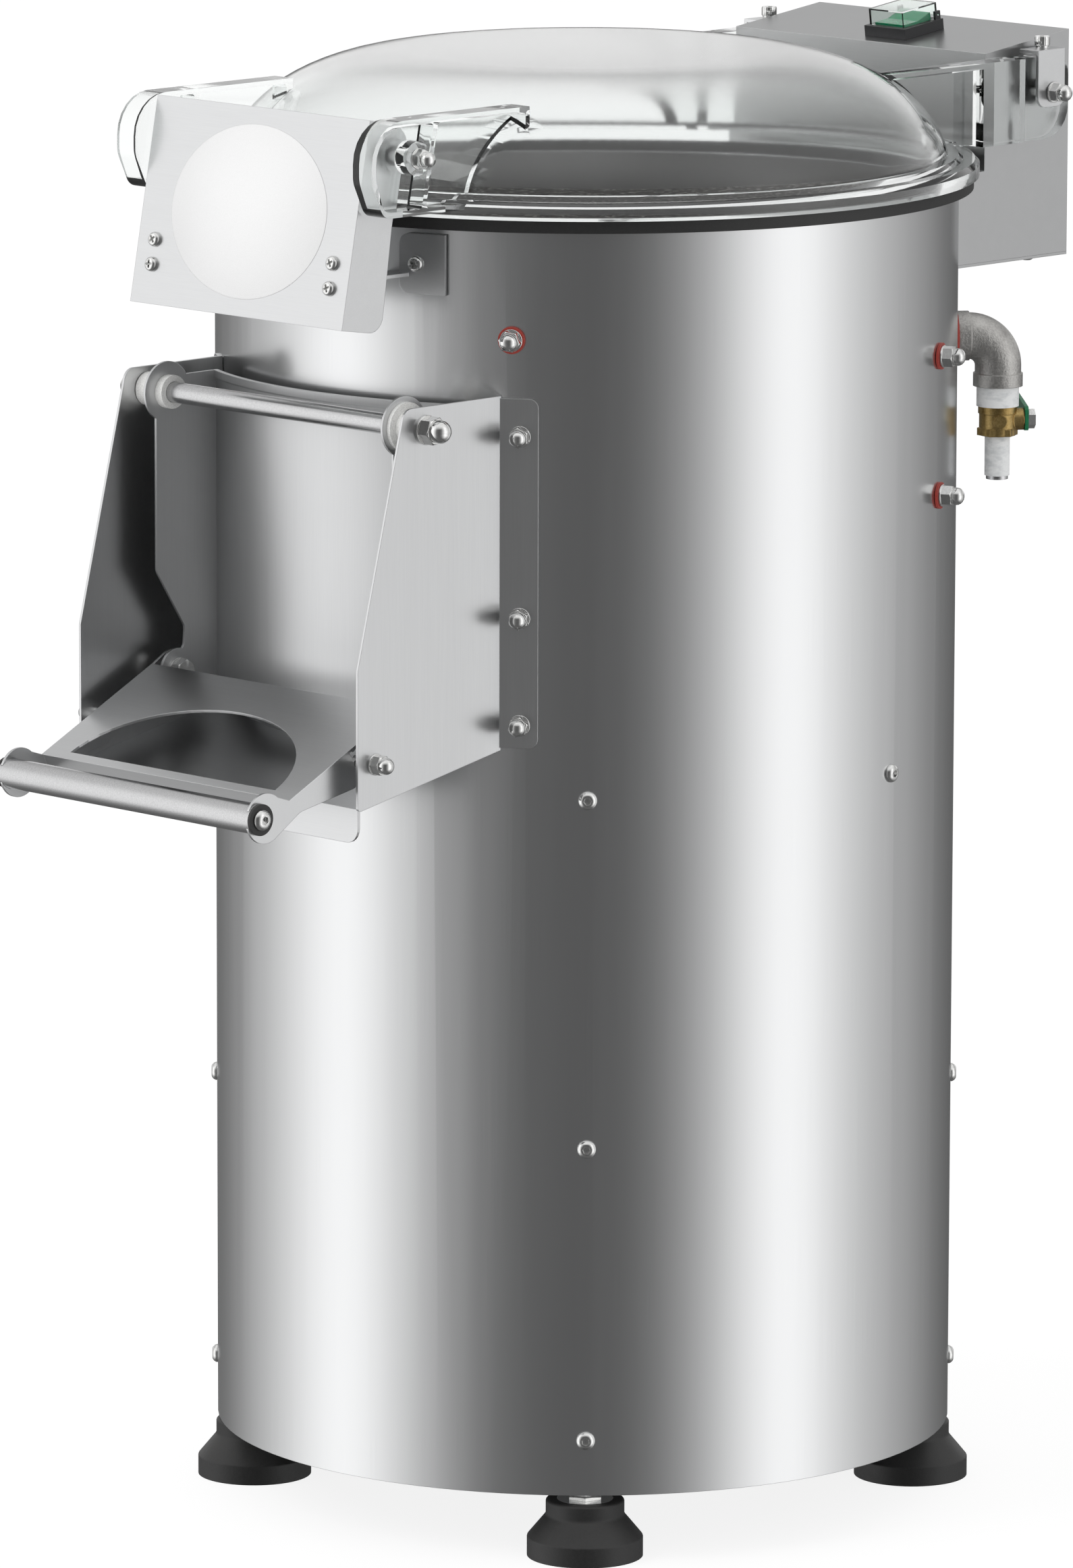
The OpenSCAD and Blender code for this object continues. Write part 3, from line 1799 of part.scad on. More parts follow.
// Contactor and terminal block on one small rail
module contactor() {
  block_x = contactor_size[0] + terminal_gap;
  pitch = terminal_size[1] / 4;
  color("#d9d5c8")
    translate([-contactor_size[0] * 0.67, drum_r + 2 * terminal_gap, box_low_z]) {
      cube(contactor_size);
      translate([block_x, 0, 0])
        cube(terminal_size);
      for (i = [0 : 3])
        translate([block_x + terminal_size[0] / 4, (i + 0.5) * pitch, 0])
          post(pitch / 5, terminal_size[2] - tiny, pitch / 4);
      translate([contactor_size[0] - tiny, pitch, 0])
        cube([terminal_gap + 2 * tiny, 2 * pitch, terminal_size[2] / 4]);
    }
}

gland_r = 8;
gland_bore_r = 4.5;
gland_nut_t = 6;
gland_cap_t = 10;

module at_gland() {
  translate([box_x * 0.55, box_back_y, box_low_z + 3 * gland_r])
    rotate([-90, 0, 0])
      children();
}

// Inlet for the power lead, with an open bore
module cable_gland() {
  color(rubber)
    at_gland()
      difference() {
        union() {
          hex_prism(gland_r * 1.6, gland_nut_t);
          post(gland_r, -gland_nut_t, gland_nut_t + over);
          up(-gland_nut_t)
            hex_prism(gland_r * 1.5, gland_nut_t - 1.2 * sheet_t);
          post(gland_r * 1.3, gland_nut_t, gland_cap_t);
        }
        bore(gland_bore_r, -gland_nut_t, 2 * gland_nut_t + gland_cap_t);
      }
}

// Switch on the sloping top

switch_x = 11;
switch_in = 9;
switch_y = box_front_y + switch_in + bezel_d / 2;
switch_wall = 4;
switch_deep = 20;
rocker_axis = 4;
rocker_r = 1.5;
rocker_tilt = 8;
rocker_gap = 0.5;
rocker_pin = 1.5;
rocker_keel = 6;
rocker_face = 4.8;
rocker_half = bezel_d / 2 - switch_wall - rocker_gap;
rocker_wide = bezel_w - 2 * (switch_wall + rocker_gap);
cover_edge = 2.7;
cover_t = 1;
cover_h = 9;
cover_wide = bezel_w - 2 * cover_edge;
cover_deep = bezel_d - 1.3 * cover_edge;
cover_pin_in = 1.3;
cover_pin_up = 2.4;
cover_y = cover_deep / 2 - cover_pin_in;
cover_z = bezel_h + gap + cover_pin_up;
cover_pin_r = 0.8;
cover_ear = [1.6, 4];

module switch_frame() {
  translate([switch_x, switch_y, box_top_z - (box_back_y - switch_y) * tan(box_slope)])
    rotate([box_slope, 0, 0])
      children();
}

module block(w, d, z, h) {
  translate([-w / 2, -d / 2, z])
    cube([w, d, h]);
}

module switch_bezel() {
  body = 2 * (switch_wall + tiny);
  color("#1c1d1f")
    switch_frame()
      difference() {
        union() {
          block(bezel_w, bezel_d, tiny, bezel_h);
          block(bezel_w - body, bezel_d - body, -switch_deep, switch_deep + over);
          both_sides()
            translate([cover_wide / 2 + gap, cover_y - cover_ear[1] / 2, bezel_h - tiny])
              cube([cover_ear[0], cover_ear[1], cover_z + cover_ear[1] / 2 - bezel_h]);
        }
        along_x(-bezel_w / 2, cover_y, cover_z)
          cylinder(r = cover_pin_r + fit, h = bezel_w);
        block(
          rocker_wide + rocker_gap,
          2 * rocker_half + rocker_gap,
          -rocker_keel - over,
          rocker_keel + bezel_h + 2 * over
        );
        along_x(-rocker_wide / 2 - rocker_pin - rocker_gap, 0, rocker_axis)
          cylinder(r = rocker_r + fit, h = rocker_wide + 2 * (rocker_pin + rocker_gap));
      }
}

// The rocker's face is a shallow V, and its hidden keel swings in the body
module switch_rocker() {
  tip = rocker_half - rocker_gap;
  foot = tip - rocker_gap;
  color("#10a060")
    switch_frame()
      up(rocker_axis)
        rotate([rocker_tilt, 0, 0]) {
          side_plate(-rocker_wide / 2, rocker_wide)
            polygon([
              [-foot, -rocker_face / 2], [-tip, rocker_face],
              [0, rocker_face * 0.7], [tip, rocker_face],
              [foot, -rocker_face / 2], [rocker_keel / 2, -rocker_keel],
              [-rocker_keel / 2, -rocker_keel]
            ]);
          along_x(-rocker_wide / 2 - rocker_pin, 0, 0)
            cylinder(r = rocker_r, h = rocker_wide + 2 * rocker_pin);
        }
}

// Clear flip cover that turns on two small pins at the back of the bezel
module switch_cover() {
  color(clear)
    switch_frame() {
      up(bezel_h + gap)
        difference() {
          block(cover_wide, cover_deep, 0, cover_h);
          block(cover_wide - 2 * cover_t, cover_deep - 2 * cover_t, -over, cover_h);
          translate([-cover_wide, cover_deep / 2 - 2 * cover_t, -over])
            cube([2 * cover_wide, cover_deep, over + cover_t]);
        }
      both_sides()
        along_x(cover_wide / 2 - tiny, cover_y, cover_z)
          cylinder(r = cover_pin_r, h = gap + cover_ear[0]);
    }
}

// Water tap

inlet_r = 8;
inlet_wall = 2;
inlet_tail = 16;
collar_deep = 7;
elbow_drop = 27.5;
bend_r = tap_out - collar_deep - gasket_t;
elbow_low_z = tap_z - elbow_drop;
tape_low_z = elbow_low_z - 11;
valve_low_z = tape_low_z - 16;
nipple_low_z = valve_low_z - 24;
stem_z = tape_low_z - 7.5;
stem_r = 3;
stem_boss_r = 6;
valve_bore_r = 5;
valve_collar = 4;
side_boss = [3.6, 0.6];
tap_lever_t = 2;
tap_nut = [5.4, 4];
tap_lever = [42, 12];

module tap_frame() {
  rotate([0, 0, tap_angle])
    translate([drum_r, 0, 0])
      children();
}

module elbow_bend(r) {
  translate([tap_out - bend_r, 0, tap_z - bend_r])
    rotate([90, 0, 0])
      rotate_extrude(angle = 90)
        translate([bend_r, 0])
          circle(r = r);
}

module inlet_elbow() {
  bore_r = inlet_r - inlet_wall;
  color("#a9a6a0")
    tap_frame()
      difference() {
        union() {
          along_x(gasket_t, 0, tap_z) {
            cylinder(r = collar_r, h = collar_deep);
            cylinder(r = elbow_r, h = tap_out - bend_r - gasket_t);
            post(inlet_r, -inlet_tail - gasket_t, inlet_tail + gasket_t + tiny);
          }
          elbow_bend(elbow_r);
          translate([tap_out, 0, elbow_low_z]) {
            cylinder(r = collar_r, h = collar_deep);
            cylinder(r = elbow_r, h = elbow_drop - bend_r);
          }
        }
        elbow_bend(bore_r);
        along_x(-2 * inlet_tail, 0, tap_z)
          cylinder(r = bore_r, h = 2 * inlet_tail + tap_out - bend_r);
        translate([tap_out, 0, 0])
          post(bore_r, elbow_low_z - over, elbow_drop - bend_r + over);
      }
}

module thread_tape() {
  tape_t = inlet_wall * 0.4;
  color("#f2f2ee")
    tap_frame()
      translate([tap_out, 0, 0]) {
        up(tape_low_z)
          ring(collar_r - inlet_wall, inlet_r - inlet_wall, elbow_low_z - tape_low_z);
        up(nipple_low_z + inlet_wall)
          ring(nipple_r + tape_t, nipple_r, valve_low_z - nipple_low_z - inlet_wall);
      }
}

// Brass ball valve with a plain boss on its side and a bonnet round the stem
module valve_body() {
  color("#b08d4f")
    tap_frame()
      translate([tap_out, 0, 0])
        difference() {
          union() {
            post(valve_r, valve_low_z, tape_low_z - valve_low_z);
            up(valve_low_z)
              hex_prism(valve_r * 1.12, valve_collar);
            post(valve_r + side_boss[1], tape_low_z - valve_collar, valve_collar);
            up(stem_z)
              rotate([90, 0, 0])
                cylinder(r = side_boss[0], h = valve_r + side_boss[1]);
            along_x(0, 0, stem_z)
              cylinder(r = stem_boss_r, h = valve_r + valve_collar);
          }
          bore(valve_bore_r, valve_low_z, tape_low_z - valve_low_z);
          along_x(0, 0, stem_z)
            cylinder(r = stem_r + fit, h = 3 * valve_r);
        }
}

module valve_lever() {
  face = valve_r + valve_collar + gap;
  color("#1f9a55")
    tap_frame()
      translate([tap_out, 0, stem_z]) {
        along_x(0, 0, 0) {
          post(stem_r, valve_bore_r + gap, face - valve_bore_r);
          up(face + tap_lever_t)
            hex_prism(tap_nut[0], tap_nut[1]);
        }
        translate([face, 0, 0])
          rotate([90, 0, 90])
            linear_extrude(height = tap_lever_t)
              polygon(rounded(sized([
                [-0.14, -0.5, 3], [0.19, -0.5, 3],
                [0.38, 0.08, 4], [1, 0.33, 3],
                [1, 1, 3], [0.29, 0.75, 4],
                [-0.14, 0.58, 3]
              ], tap_lever[0], tap_lever[1])));
      }
}

module outlet_nipple() {
  color("#c9c6bd")
    tap_frame()
      translate([tap_out, 0, nipple_low_z])
        ring(nipple_r, valve_bore_r * 0.8, valve_low_z - nipple_low_z - tiny);
}

drum_shell();
base_ring();
feet();
foot_studs();
shell_screws();
chamber_floor();
abrasive_liner();
liner_nuts();
liner_gaskets();
drain_pipe();
motor_plate();
motor_body();
motor_shaft();
motor_pulley();
drive_belt();
bearing_housing();
spindle_bearings();
spindle();
drive_pulley();
abrasive_disc();
disc_bolt();
left_cheek();
right_cheek();
chute_nuts();
chute_floor();
catch_pins();
door_seal();
door_panel();
door_rod();
rod_nuts();
door_bushings();
pivot_bolts();
door_lever();
handle_tube();
handle_caps();
handle_screws();
lid_cover();
lid_seal();
hinge_brackets();
hinge_screws();
hinge_pins();
latch_bolts();
latch_plate();
latch_clips();
latch_screws();
catch_brackets();
catch_screws();
control_box();
box_bottom();
box_screws();
contactor();
cable_gland();
switch_bezel();
switch_rocker();
switch_cover();
inlet_elbow();
thread_tape();
valve_body();
valve_lever();
outlet_nipple();
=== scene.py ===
"""Electric potato peeler: finishes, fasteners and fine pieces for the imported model."""

import math

import bpy
from mathutils import Matrix, Vector


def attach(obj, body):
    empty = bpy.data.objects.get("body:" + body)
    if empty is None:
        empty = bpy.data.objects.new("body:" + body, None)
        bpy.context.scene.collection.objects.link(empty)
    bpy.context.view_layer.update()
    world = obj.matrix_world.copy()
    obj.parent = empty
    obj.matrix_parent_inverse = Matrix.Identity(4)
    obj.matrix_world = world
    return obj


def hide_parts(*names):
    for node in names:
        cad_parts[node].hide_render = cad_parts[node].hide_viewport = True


bl_info = {
    "name": "Potato Peeler Finisher",
    "version": (1, 0, 0),
    "blender": (4, 5, 0),
    "location": "View3D > Sidebar > Peeler",
    "description": "Dresses a steel drum potato peeler with its finishes, fasteners and fittings",
    "category": "Object",
}

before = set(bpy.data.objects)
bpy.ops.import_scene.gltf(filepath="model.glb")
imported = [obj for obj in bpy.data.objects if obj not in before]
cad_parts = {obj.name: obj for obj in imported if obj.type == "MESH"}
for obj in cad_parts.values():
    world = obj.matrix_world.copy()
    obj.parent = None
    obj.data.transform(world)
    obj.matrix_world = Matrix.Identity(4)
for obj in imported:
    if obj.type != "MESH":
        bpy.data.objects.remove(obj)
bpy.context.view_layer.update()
MM = 0.001


# Sizes from the part's source, in millimetres and degrees. A pair is a place's (y, z)

DRUM_R = 200.0
SHEET_T = 1.5
GASKET_T = 1.5
CATCH_T = 2.0
CHEEK_X = 106.0
ROD = (-226.0, 613.5)
LEVER_PIVOT = (-219.0, 462.5)
LEVER_SLOPE = 26.0
CATCH_PIN = (-262.4, 442.0)
HINGE = (250.0, 751.0)
LATCH_PIVOT = (-219.0, 753.0)
LATCH_LEAN = 10.8
LATCH_DEEP = 25.0
LATCH_TOP = 16.1
LATCH_LEN = 109.6
TAP_ANGLE = 52.0
LEVER_NUT_OUT = 241.2
LEVER_LEN = 123.0
HANDLE_END = 97.2
HANDLE_RISE = 13.8
PIVOT_HEAD_X = 94.8
BRACKET_TOP_Z = 774.5
HINGE_SCREW_XY = (102.98, 249.5)
HINGE_NUT_X = 111.3
LATCH_NUT_X = 93.0
BOX_X = 94.0
BOX_LOW_Z = 659.0
BOX_BACK_Y = 281.0
BOX_SCREW_YS = (196.933, 261.8)

# Where fasteners stand: (angle from +X, z) on the drum, (x, share of its height) on the latch plate
SHELL_SCREWS = [(a, z) for a in (-135, -45, 45, 135) for z in (67.0, 225.0)]
SHELL_SCREWS += [(a, 412.0) for a in (-135, -45, 9, 63, 117, 171)]
LINER_NUTS = [(-56.6, 655.0), (-123.4, 655.0), (25.0, 629.0), (25.0, 554.0), (155.0, 629.0), (155.0, 554.0)]
CHUTE_NUTS = [(a, z) for a in (-55.25, -124.75) for z in (604.5, 508.5, 451.6)]
CATCH_SCREWS = [(-71.5, 693.0), (-108.5, 693.0)]
CLIP_SCREWS = [(x, share) for x in (-67.0, 67.0) for share in (0.19, 0.31)]

# Directions, a stretch for upright brushing, the least angle of a sharp edge, and white
FLIP = Matrix.Rotation(math.pi, 4, "X")
ACROSS = (1.0, 0.0, 0.0)
UPRIGHT = (1.0, 1.0, 0.02)
SHARP = math.radians(32.0)
WHITE = (1.0, 1.0, 1.0, 1.0)

# Radii of the screws, and half the label's width and height, in metres
M4_R, M5_R, M6_R = 0.002, 0.0025, 0.003
LABEL_R = (0.058, 0.0458)

# The lid's haze: none past the first radius, full within the second, and it grows between the two
# heights, in metres, with its roughness last
LID_HAZE = (0.178, 0.110, 0.755, 0.775, 0.13)

# The tent's level round the camera's view, as (share of a turn, level); the camera stands at 0.5
TENT_LEVELS = [
    (0.0, 0.12), (0.08, 0.18), (0.13, 0.38), (0.19, 0.78), (0.235, 1.15), (0.28, 1.55), (0.325, 1.0),
    (0.375, 0.46), (0.42, 0.16), (0.50, 0.10), (0.555, 0.145), (0.60, 0.46), (0.64, 1.0), (0.685, 1.60),
    (0.73, 0.98), (0.78, 0.66), (0.84, 0.42), (0.90, 0.20), (1.0, 0.045)]


# Settings that a user would change

def a_colour(name, description, default):
    """A colour setting."""
    return bpy.props.FloatVectorProperty(
        name=name, description=description, default=default, subtype="COLOR", min=0.0, max=1.0)


def a_share(name, description, default):
    """A setting from nothing to full."""
    return bpy.props.FloatProperty(
        name=name, description=description, default=default, subtype="FACTOR", min=0.0, max=1.0)


def an_amount(name, description, default, most):
    """A setting from nothing up."""
    return bpy.props.FloatProperty(name=name, description=description, default=default, min=0.0, max=most)


def a_length(name, description, default, least=0.002, most=0.012):
    """A length setting, in metres."""
    return bpy.props.FloatProperty(
        name=name, description=description, default=default, unit="LENGTH", min=least, max=most)


def an_angle(name, description, degrees):
    """An angle setting, given in degrees."""
    return bpy.props.FloatProperty(
        name=name, description=description, default=math.radians(degrees), subtype="ANGLE")


class PeelerStage(bpy.types.PropertyGroup):
    """Camera, floor and light"""
    distance: a_length("Camera Distance", "Distance of the camera from the drum's axis", 5.775, 2.0, 12.0)
    height: a_length("Camera Height", "Height of the camera above the floor", 1.438, 0.2, 4.0)
    azimuth: an_angle("Camera Azimuth", "Angle of the camera round the drum from the front", 44.56)
    pitch: an_angle("Camera Pitch", "Angle at which the camera looks down", 10.34)
    yaw: an_angle("Camera Yaw", "Turn of the camera from the drum's axis", -0.26)
    roll: an_angle("Camera Roll", "Roll of the camera about its view", 0.14)
    lens: an_amount("Lens", "Focal length on a 36 mm long side, in millimetres", 248.2, 400.0)
    ambient: an_amount("Soft Light", "Level of the even light from all round", 0.82, 2.0)
    key: an_amount("Key Light", "Power of the large lamp at the upper left, in watts", 60.0, 500.0)
    floor: a_colour("Floor", "Colour of the pale floor", (0.90, 0.90, 0.90))


class PeelerSteel(bpy.types.PropertyGroup):
    """Finishes of the sheet steel and the fasteners"""
    drum: a_colour("Drum", "Colour of the drum's brushed sheet", (0.70, 0.705, 0.71))
    sheet: a_colour("Sheet", "Colour of the satin sheet", (0.66, 0.665, 0.67))
    bright: a_colour("Bright", "Colour of the bright fasteners", (0.80, 0.80, 0.79))
    drum_rough: a_share("Drum Roughness", "Roughness of the drum's brushed sheet", 0.24)
    sheet_rough: a_share("Sheet Roughness", "Roughness of the satin sheet", 0.31)
    bright_rough: a_share("Bright Roughness", "Roughness of the bright fasteners", 0.09)
    edge: a_length("Edge Radius", "Radius of the sheet's rounded edges", 0.0005, 0.0, 0.003)


class PeelerFasteners(bpy.types.PropertyGroup):
    """Sizes of the screws and nuts"""
    nut_r: a_length("Nut Radius", "Radius of a cap nut over its corners", 0.0058)
    nut_h: a_length("Nut Height", "Height of a cap nut's hexagon", 0.0055)
    dome_r: a_length("Dome Radius", "Radius of a cap nut's dome", 0.0047)
    dome_h: a_length("Dome Height", "Height of a cap nut's dome", 0.006)
    washer_r: a_length("Washer Radius", "Radius of a cap nut's washer", 0.006)
    button_r: a_length("Button Radius", "Radius of a shell screw's head", 0.005)
    seed: bpy.props.IntProperty(
        name="Turn Seed", description="Seed for how far each fastener is turned", default=7)


class PeelerPlastics(bpy.types.PropertyGroup):
    """Colours of the plastic and rubber pieces"""
    lid: a_colour("Lid", "Colour of the clear lid", (0.97, 0.985, 0.98))
    rubber: a_colour("Rubber", "Colour of the black rubber", (0.018, 0.018, 0.018))
    gasket: a_colour("Gasket", "Colour of the red gaskets", (0.42, 0.045, 0.03))
    rocker: a_colour("Rocker", "Colour of the green rocker", (0.0, 0.33, 0.14))
    tape: a_colour("Tape", "Colour of the thread tape", (0.86, 0.87, 0.87))


# Node helpers

def plug_in(tree, node, values):
    """Sets or links a node's inputs."""
    for key, value in values.items():
        plug = node.inputs[key]
        if isinstance(value, bpy.types.NodeSocket):
            tree.links.new(value, plug)
        else:
            plug.default_value = value


def put(tree, kind, values=None, **props):
    """Adds a node, sets its properties, and sets or links its inputs."""
    made = tree.nodes.new(kind)
    for key, value in props.items():
        setattr(made, key, value)
    plug_in(tree, made, values or {})
    return made


def calc(tree, operation, a, b=0.0, clamp=False):
    """One Math node's result."""
    return put(tree, "ShaderNodeMath", {0: a, 1: b}, operation=operation, use_clamp=clamp).outputs[0]


def blend(tree, share, a, b, mode="MIX"):
    """One colour Mix node's result."""
    return put(tree, "ShaderNodeMix", {"Factor": share, 6: a, 7: b},
               data_type="RGBA", blend_type=mode).outputs[2]


def ramp(tree, share, stops, interpolation="LINEAR"):
    """A Color Ramp through (place, level or colour) stops."""
    made = put(tree, "ShaderNodeValToRGB", {"Fac": share})
    made.color_ramp.interpolation = interpolation
    points = made.color_ramp.elements
    while len(points) < len(stops):
        points.new(0.5)
    for point, (place, level) in zip(points, stops):
        point.position = place
        point.color = (level, level, level, 1.0) if isinstance(level, float) else (*level, 1.0)
    return made.outputs["Color"]


def spread(tree, value, low, high, start=0.0, end=1.0, shape="LINEAR"):
    """Maps start..end to low..high."""
    return put(tree, "ShaderNodeMapRange", {
        "Value": value, "From Min": start, "From Max": end, "To Min": low, "To Max": high},
        interpolation_type=shape).outputs[0]


def noise(tree, vector, scale, detail=2.0, rough=0.5):
    """One Noise Texture's level."""
    return put(tree, "ShaderNodeTexNoise", {
        "Vector": vector, "Scale": scale, "Detail": detail, "Roughness": rough}).outputs["Fac"]


def group(name, kind, inputs, outputs):
    """A node group with named sockets: its tree, the input node's outputs and the output node."""
    tree = bpy.data.node_groups.new(name, kind)
    for way, plugs in (("INPUT", inputs), ("OUTPUT", outputs)):
        for label, form, *default in plugs:
            plug = tree.interface.new_socket(label, in_out=way, socket_type="NodeSocket" + form)
            if default:
                plug.default_value = default[0]
    return tree, tree.nodes.new("NodeGroupInput").outputs, tree.nodes.new("NodeGroupOutput")


def once(build):
    """Keeps each material or node group that a function builds, by its name."""
    kept = {}

    def get(name, *args, **options):
        if name not in kept:
            kept[name] = build(name, *args, **options)
        return kept[name]
    return get


@once
def brushing_group(name):
    """Fine and broad streaks along the stretched direction of the incoming vector."""
    tree, ins, out = group(
        name, "ShaderNodeTree",
        [("Vector", "Vector"), ("Fine Scale", "Float", 60.0), ("Broad Scale", "Float", 7.0)],
        [("Streaks", "Float")])
    fine = calc(tree, "MULTIPLY", noise(tree, ins["Vector"], ins["Fine Scale"], 3.0, 0.65), 0.7)
    broad = calc(tree, "MULTIPLY", noise(tree, ins["Vector"], ins["Broad Scale"]), 0.3)
    plug_in(tree, out, {"Streaks": calc(tree, "ADD", fine, broad)})
    return tree


@once
def wear_and_highlight_group(name):
    """Rounded edges, a mask of the edges for wear and for a painted edge highlight, and soft handling
    smudges.
    """
    tree, ins, out = group(
        name, "ShaderNodeTree",
        [("Vector", "Vector"), ("Radius", "Float", 0.0005), ("Smudge Scale", "Float", 9.0)],
        [("Edge", "Float"), ("Smudge", "Float"), ("Normal", "Vector")])
    bevel = put(tree, "ShaderNodeBevel", {"Radius": ins["Radius"]}, samples=4).outputs["Normal"]
    flat = tree.nodes.new("ShaderNodeNewGeometry").outputs["Normal"]
    facing = put(tree, "ShaderNodeVectorMath", {0: bevel, 1: flat}, operation="DOT_PRODUCT").outputs["Value"]
    plug_in(tree, out, {
        "Edge": spread(tree, facing, 0.0, 1.0, 0.98, 0.75),
        "Smudge": noise(tree, ins["Vector"], ins["Smudge Scale"], 4.0, 0.6), "Normal": bevel})
    return tree


@once
def dust_group(name):
    """Dust that settles on faces that look up, and speckle in the surface."""
    tree, ins, out = group(
        name, "ShaderNodeTree",
        [("Vector", "Vector"), ("Amount", "Float", 0.3), ("Speckle Scale", "Float", 400.0)],
        [("Dust", "Float"), ("Speckle", "Float")])
    flat = tree.nodes.new("ShaderNodeNewGeometry").outputs["Normal"]
    up = put(tree, "ShaderNodeSeparateXYZ", {0: flat}).outputs["Z"]
    patch = noise(tree, ins["Vector"], 35.0, 5.0, 0.6)
    above = calc(tree, "MAXIMUM", up, 0.0)
    plug_in(tree, out, {
        "Dust": calc(tree, "MULTIPLY", calc(tree, "MULTIPLY", above, patch), ins["Amount"]),
        "Speckle": noise(tree, ins["Vector"], ins["Speckle Scale"])})
    return tree


def seen_directly(tree, path):
    """One for rays from the camera, also through clear pieces, or nothing."""
    return calc(tree, "ADD", path["Is Camera Ray"], path["Is Transmission Ray"], clamp=True)


def fresh(name):
    """A material with an empty tree, its Principled shader and the piece's own coordinates."""
    made = bpy.data.materials.new(name)
    made.use_nodes = True
    tree = made.node_tree
    tree.nodes.clear()
    shader = tree.nodes.new("ShaderNodeBsdfPrincipled")
    out = tree.nodes.new("ShaderNodeOutputMaterial")
    tree.links.new(shader.outputs[0], out.inputs["Surface"])
    return made, tree, shader, tree.nodes.new("ShaderNodeTexCoord").outputs["Object"]


def scaled(tree, vector, scale, turn=(0.0, 0.0, 0.0)):
    """Coordinates stretched and turned."""
    return put(tree, "ShaderNodeMapping", {"Vector": vector, "Scale": scale, "Rotation": turn}).outputs[0]


def bump(tree, height, distance, strength=1.0, normal=None):
    """A normal raised by a height, on top of another normal where one is given."""
    made = put(tree, "ShaderNodeBump", {"Height": height, "Distance": distance, "Strength": strength})
    if normal is not None:
        tree.links.new(normal, made.inputs["Normal"])
    return made.outputs["Normal"]


def finish(build):
    """Makes a material, once for each name, from a function that gives its shader's inputs."""
    @once
    def get(name, *args, **options):
        made, tree, shader, place = fresh(name)
        plug_in(tree, shader, build(tree, place, *args, **options))
        return made
    return get


def worn_and_highlit(tree, place, radius, smudge_scale):
    """The outputs of one node of edge wear and painted edge highlight."""
    return put(tree, "ShaderNodeGroup", {"Vector": place, "Radius": radius, "Smudge Scale": smudge_scale},
               node_tree=wear_and_highlight_group("Edge Wear And Highlight")).outputs


def smudged(tree, level, smudge, amount):
    """A roughness that the smudges raise and lower."""
    return calc(tree, "ADD", level, calc(tree, "MULTIPLY", calc(tree, "SUBTRACT", smudge, 0.5), amount))


def rubbed_and_highlit(tree, edge, amount, base, colour):
    """A base colour with its edges in another: wear, and on brushed sheet also a painted highlight along the
    folds.
    """
    return blend(tree, calc(tree, "MULTIPLY", edge, amount), base, (*colour, 1.0))


def times(colour, share):
    """A colour made darker or brighter."""
    return tuple(min(1.0, c * share) for c in colour)


@finish
def brushed_steel(tree, place, colour, rough, grain, contrast=0.10, depth=0.00002, edge=0.0005, vary=0.06):
    """Brushed sheet steel with faint smudges; its edges are painted brighter, partly as wear, partly as a
    painted fold highlight.
    """
    streaks = put(tree, "ShaderNodeGroup", {
        "Vector": scaled(tree, place, grain), "Fine Scale": 1400.0, "Broad Scale": 160.0},
        node_tree=brushing_group("Brushing")).outputs["Streaks"]
    wear_and_highlight = worn_and_highlit(tree, place, edge, 11.0)
    low, high = times(colour, 1.0 - contrast), times(colour, 1.0 + contrast * 0.7)
    base = ramp(tree, streaks, [(0.30, low), (0.72, high)])
    level = spread(tree, streaks, rough - vary, rough + vary)
    return {
        # The brighter edges are partly wear and partly a painted highlight along the folds.
        "Base Color": rubbed_and_highlit(tree, wear_and_highlight["Edge"], 0.45, base, (0.86, 0.86, 0.86)), "Metallic": 1.0,
        "Roughness": smudged(tree, level, wear_and_highlight["Smudge"], 1.2 * vary),
        "Normal": bump(tree, streaks, depth, 0.5, wear_and_highlight["Normal"])}


@finish
def bright_steel(tree, place, colour, rough, scratch=900.0, scratch_depth=0.000012):
    """Polished fastener steel with fine scratches, tool marks and dulled patches."""
    wear_and_highlight = worn_and_highlit(tree, place, 0.0003, 90.0)
    marks = noise(tree, scaled(tree, place, (1.0, 0.15, 1.0), (0.4, 0.2, 0.9)), scratch, 3.0, 0.7)
    base = ramp(tree, marks, [(0.35, times(colour, 0.86)), (0.65, tuple(colour))])
    level = spread(tree, marks, rough - 0.05, rough + 0.05)
    return {
        "Base Color": rubbed_and_highlit(tree, wear_and_highlight["Edge"], 0.35, base, (0.92, 0.92, 0.91)), "Metallic": 1.0,
        "Roughness": smudged(tree, level, wear_and_highlight["Smudge"], 0.08),
        "Normal": bump(tree, marks, scratch_depth, 0.4, wear_and_highlight["Normal"])}


@finish
def cast_metal(tree, place, colour, dark, rough, grain=700.0, depth=0.00025, metallic=1.0):
    """Cast or blasted metal: pitted grain, darker hollows and rubbed edges."""
    wear_and_highlight = worn_and_highlit(tree, place, 0.0008, 40.0)
    pits = noise(tree, place, grain, 4.0, 0.62)
    broad = noise(tree, place, grain * 0.12, 3.0, 0.5)
    mean = calc(tree, "ADD", calc(tree, "MULTIPLY", pits, 0.5), calc(tree, "MULTIPLY", broad, 0.5))
    base = ramp(tree, mean, [(0.36, dark), (0.62, colour)])
    return {
        "Base Color": rubbed_and_highlit(tree, wear_and_highlight["Edge"], 0.4, base, times(colour, 1.25)), "Metallic": metallic,
        "Roughness": spread(tree, pits, rough - 0.08, rough + 0.12),
        "Normal": bump(tree, pits, depth, 0.7, wear_and_highlight["Normal"])}


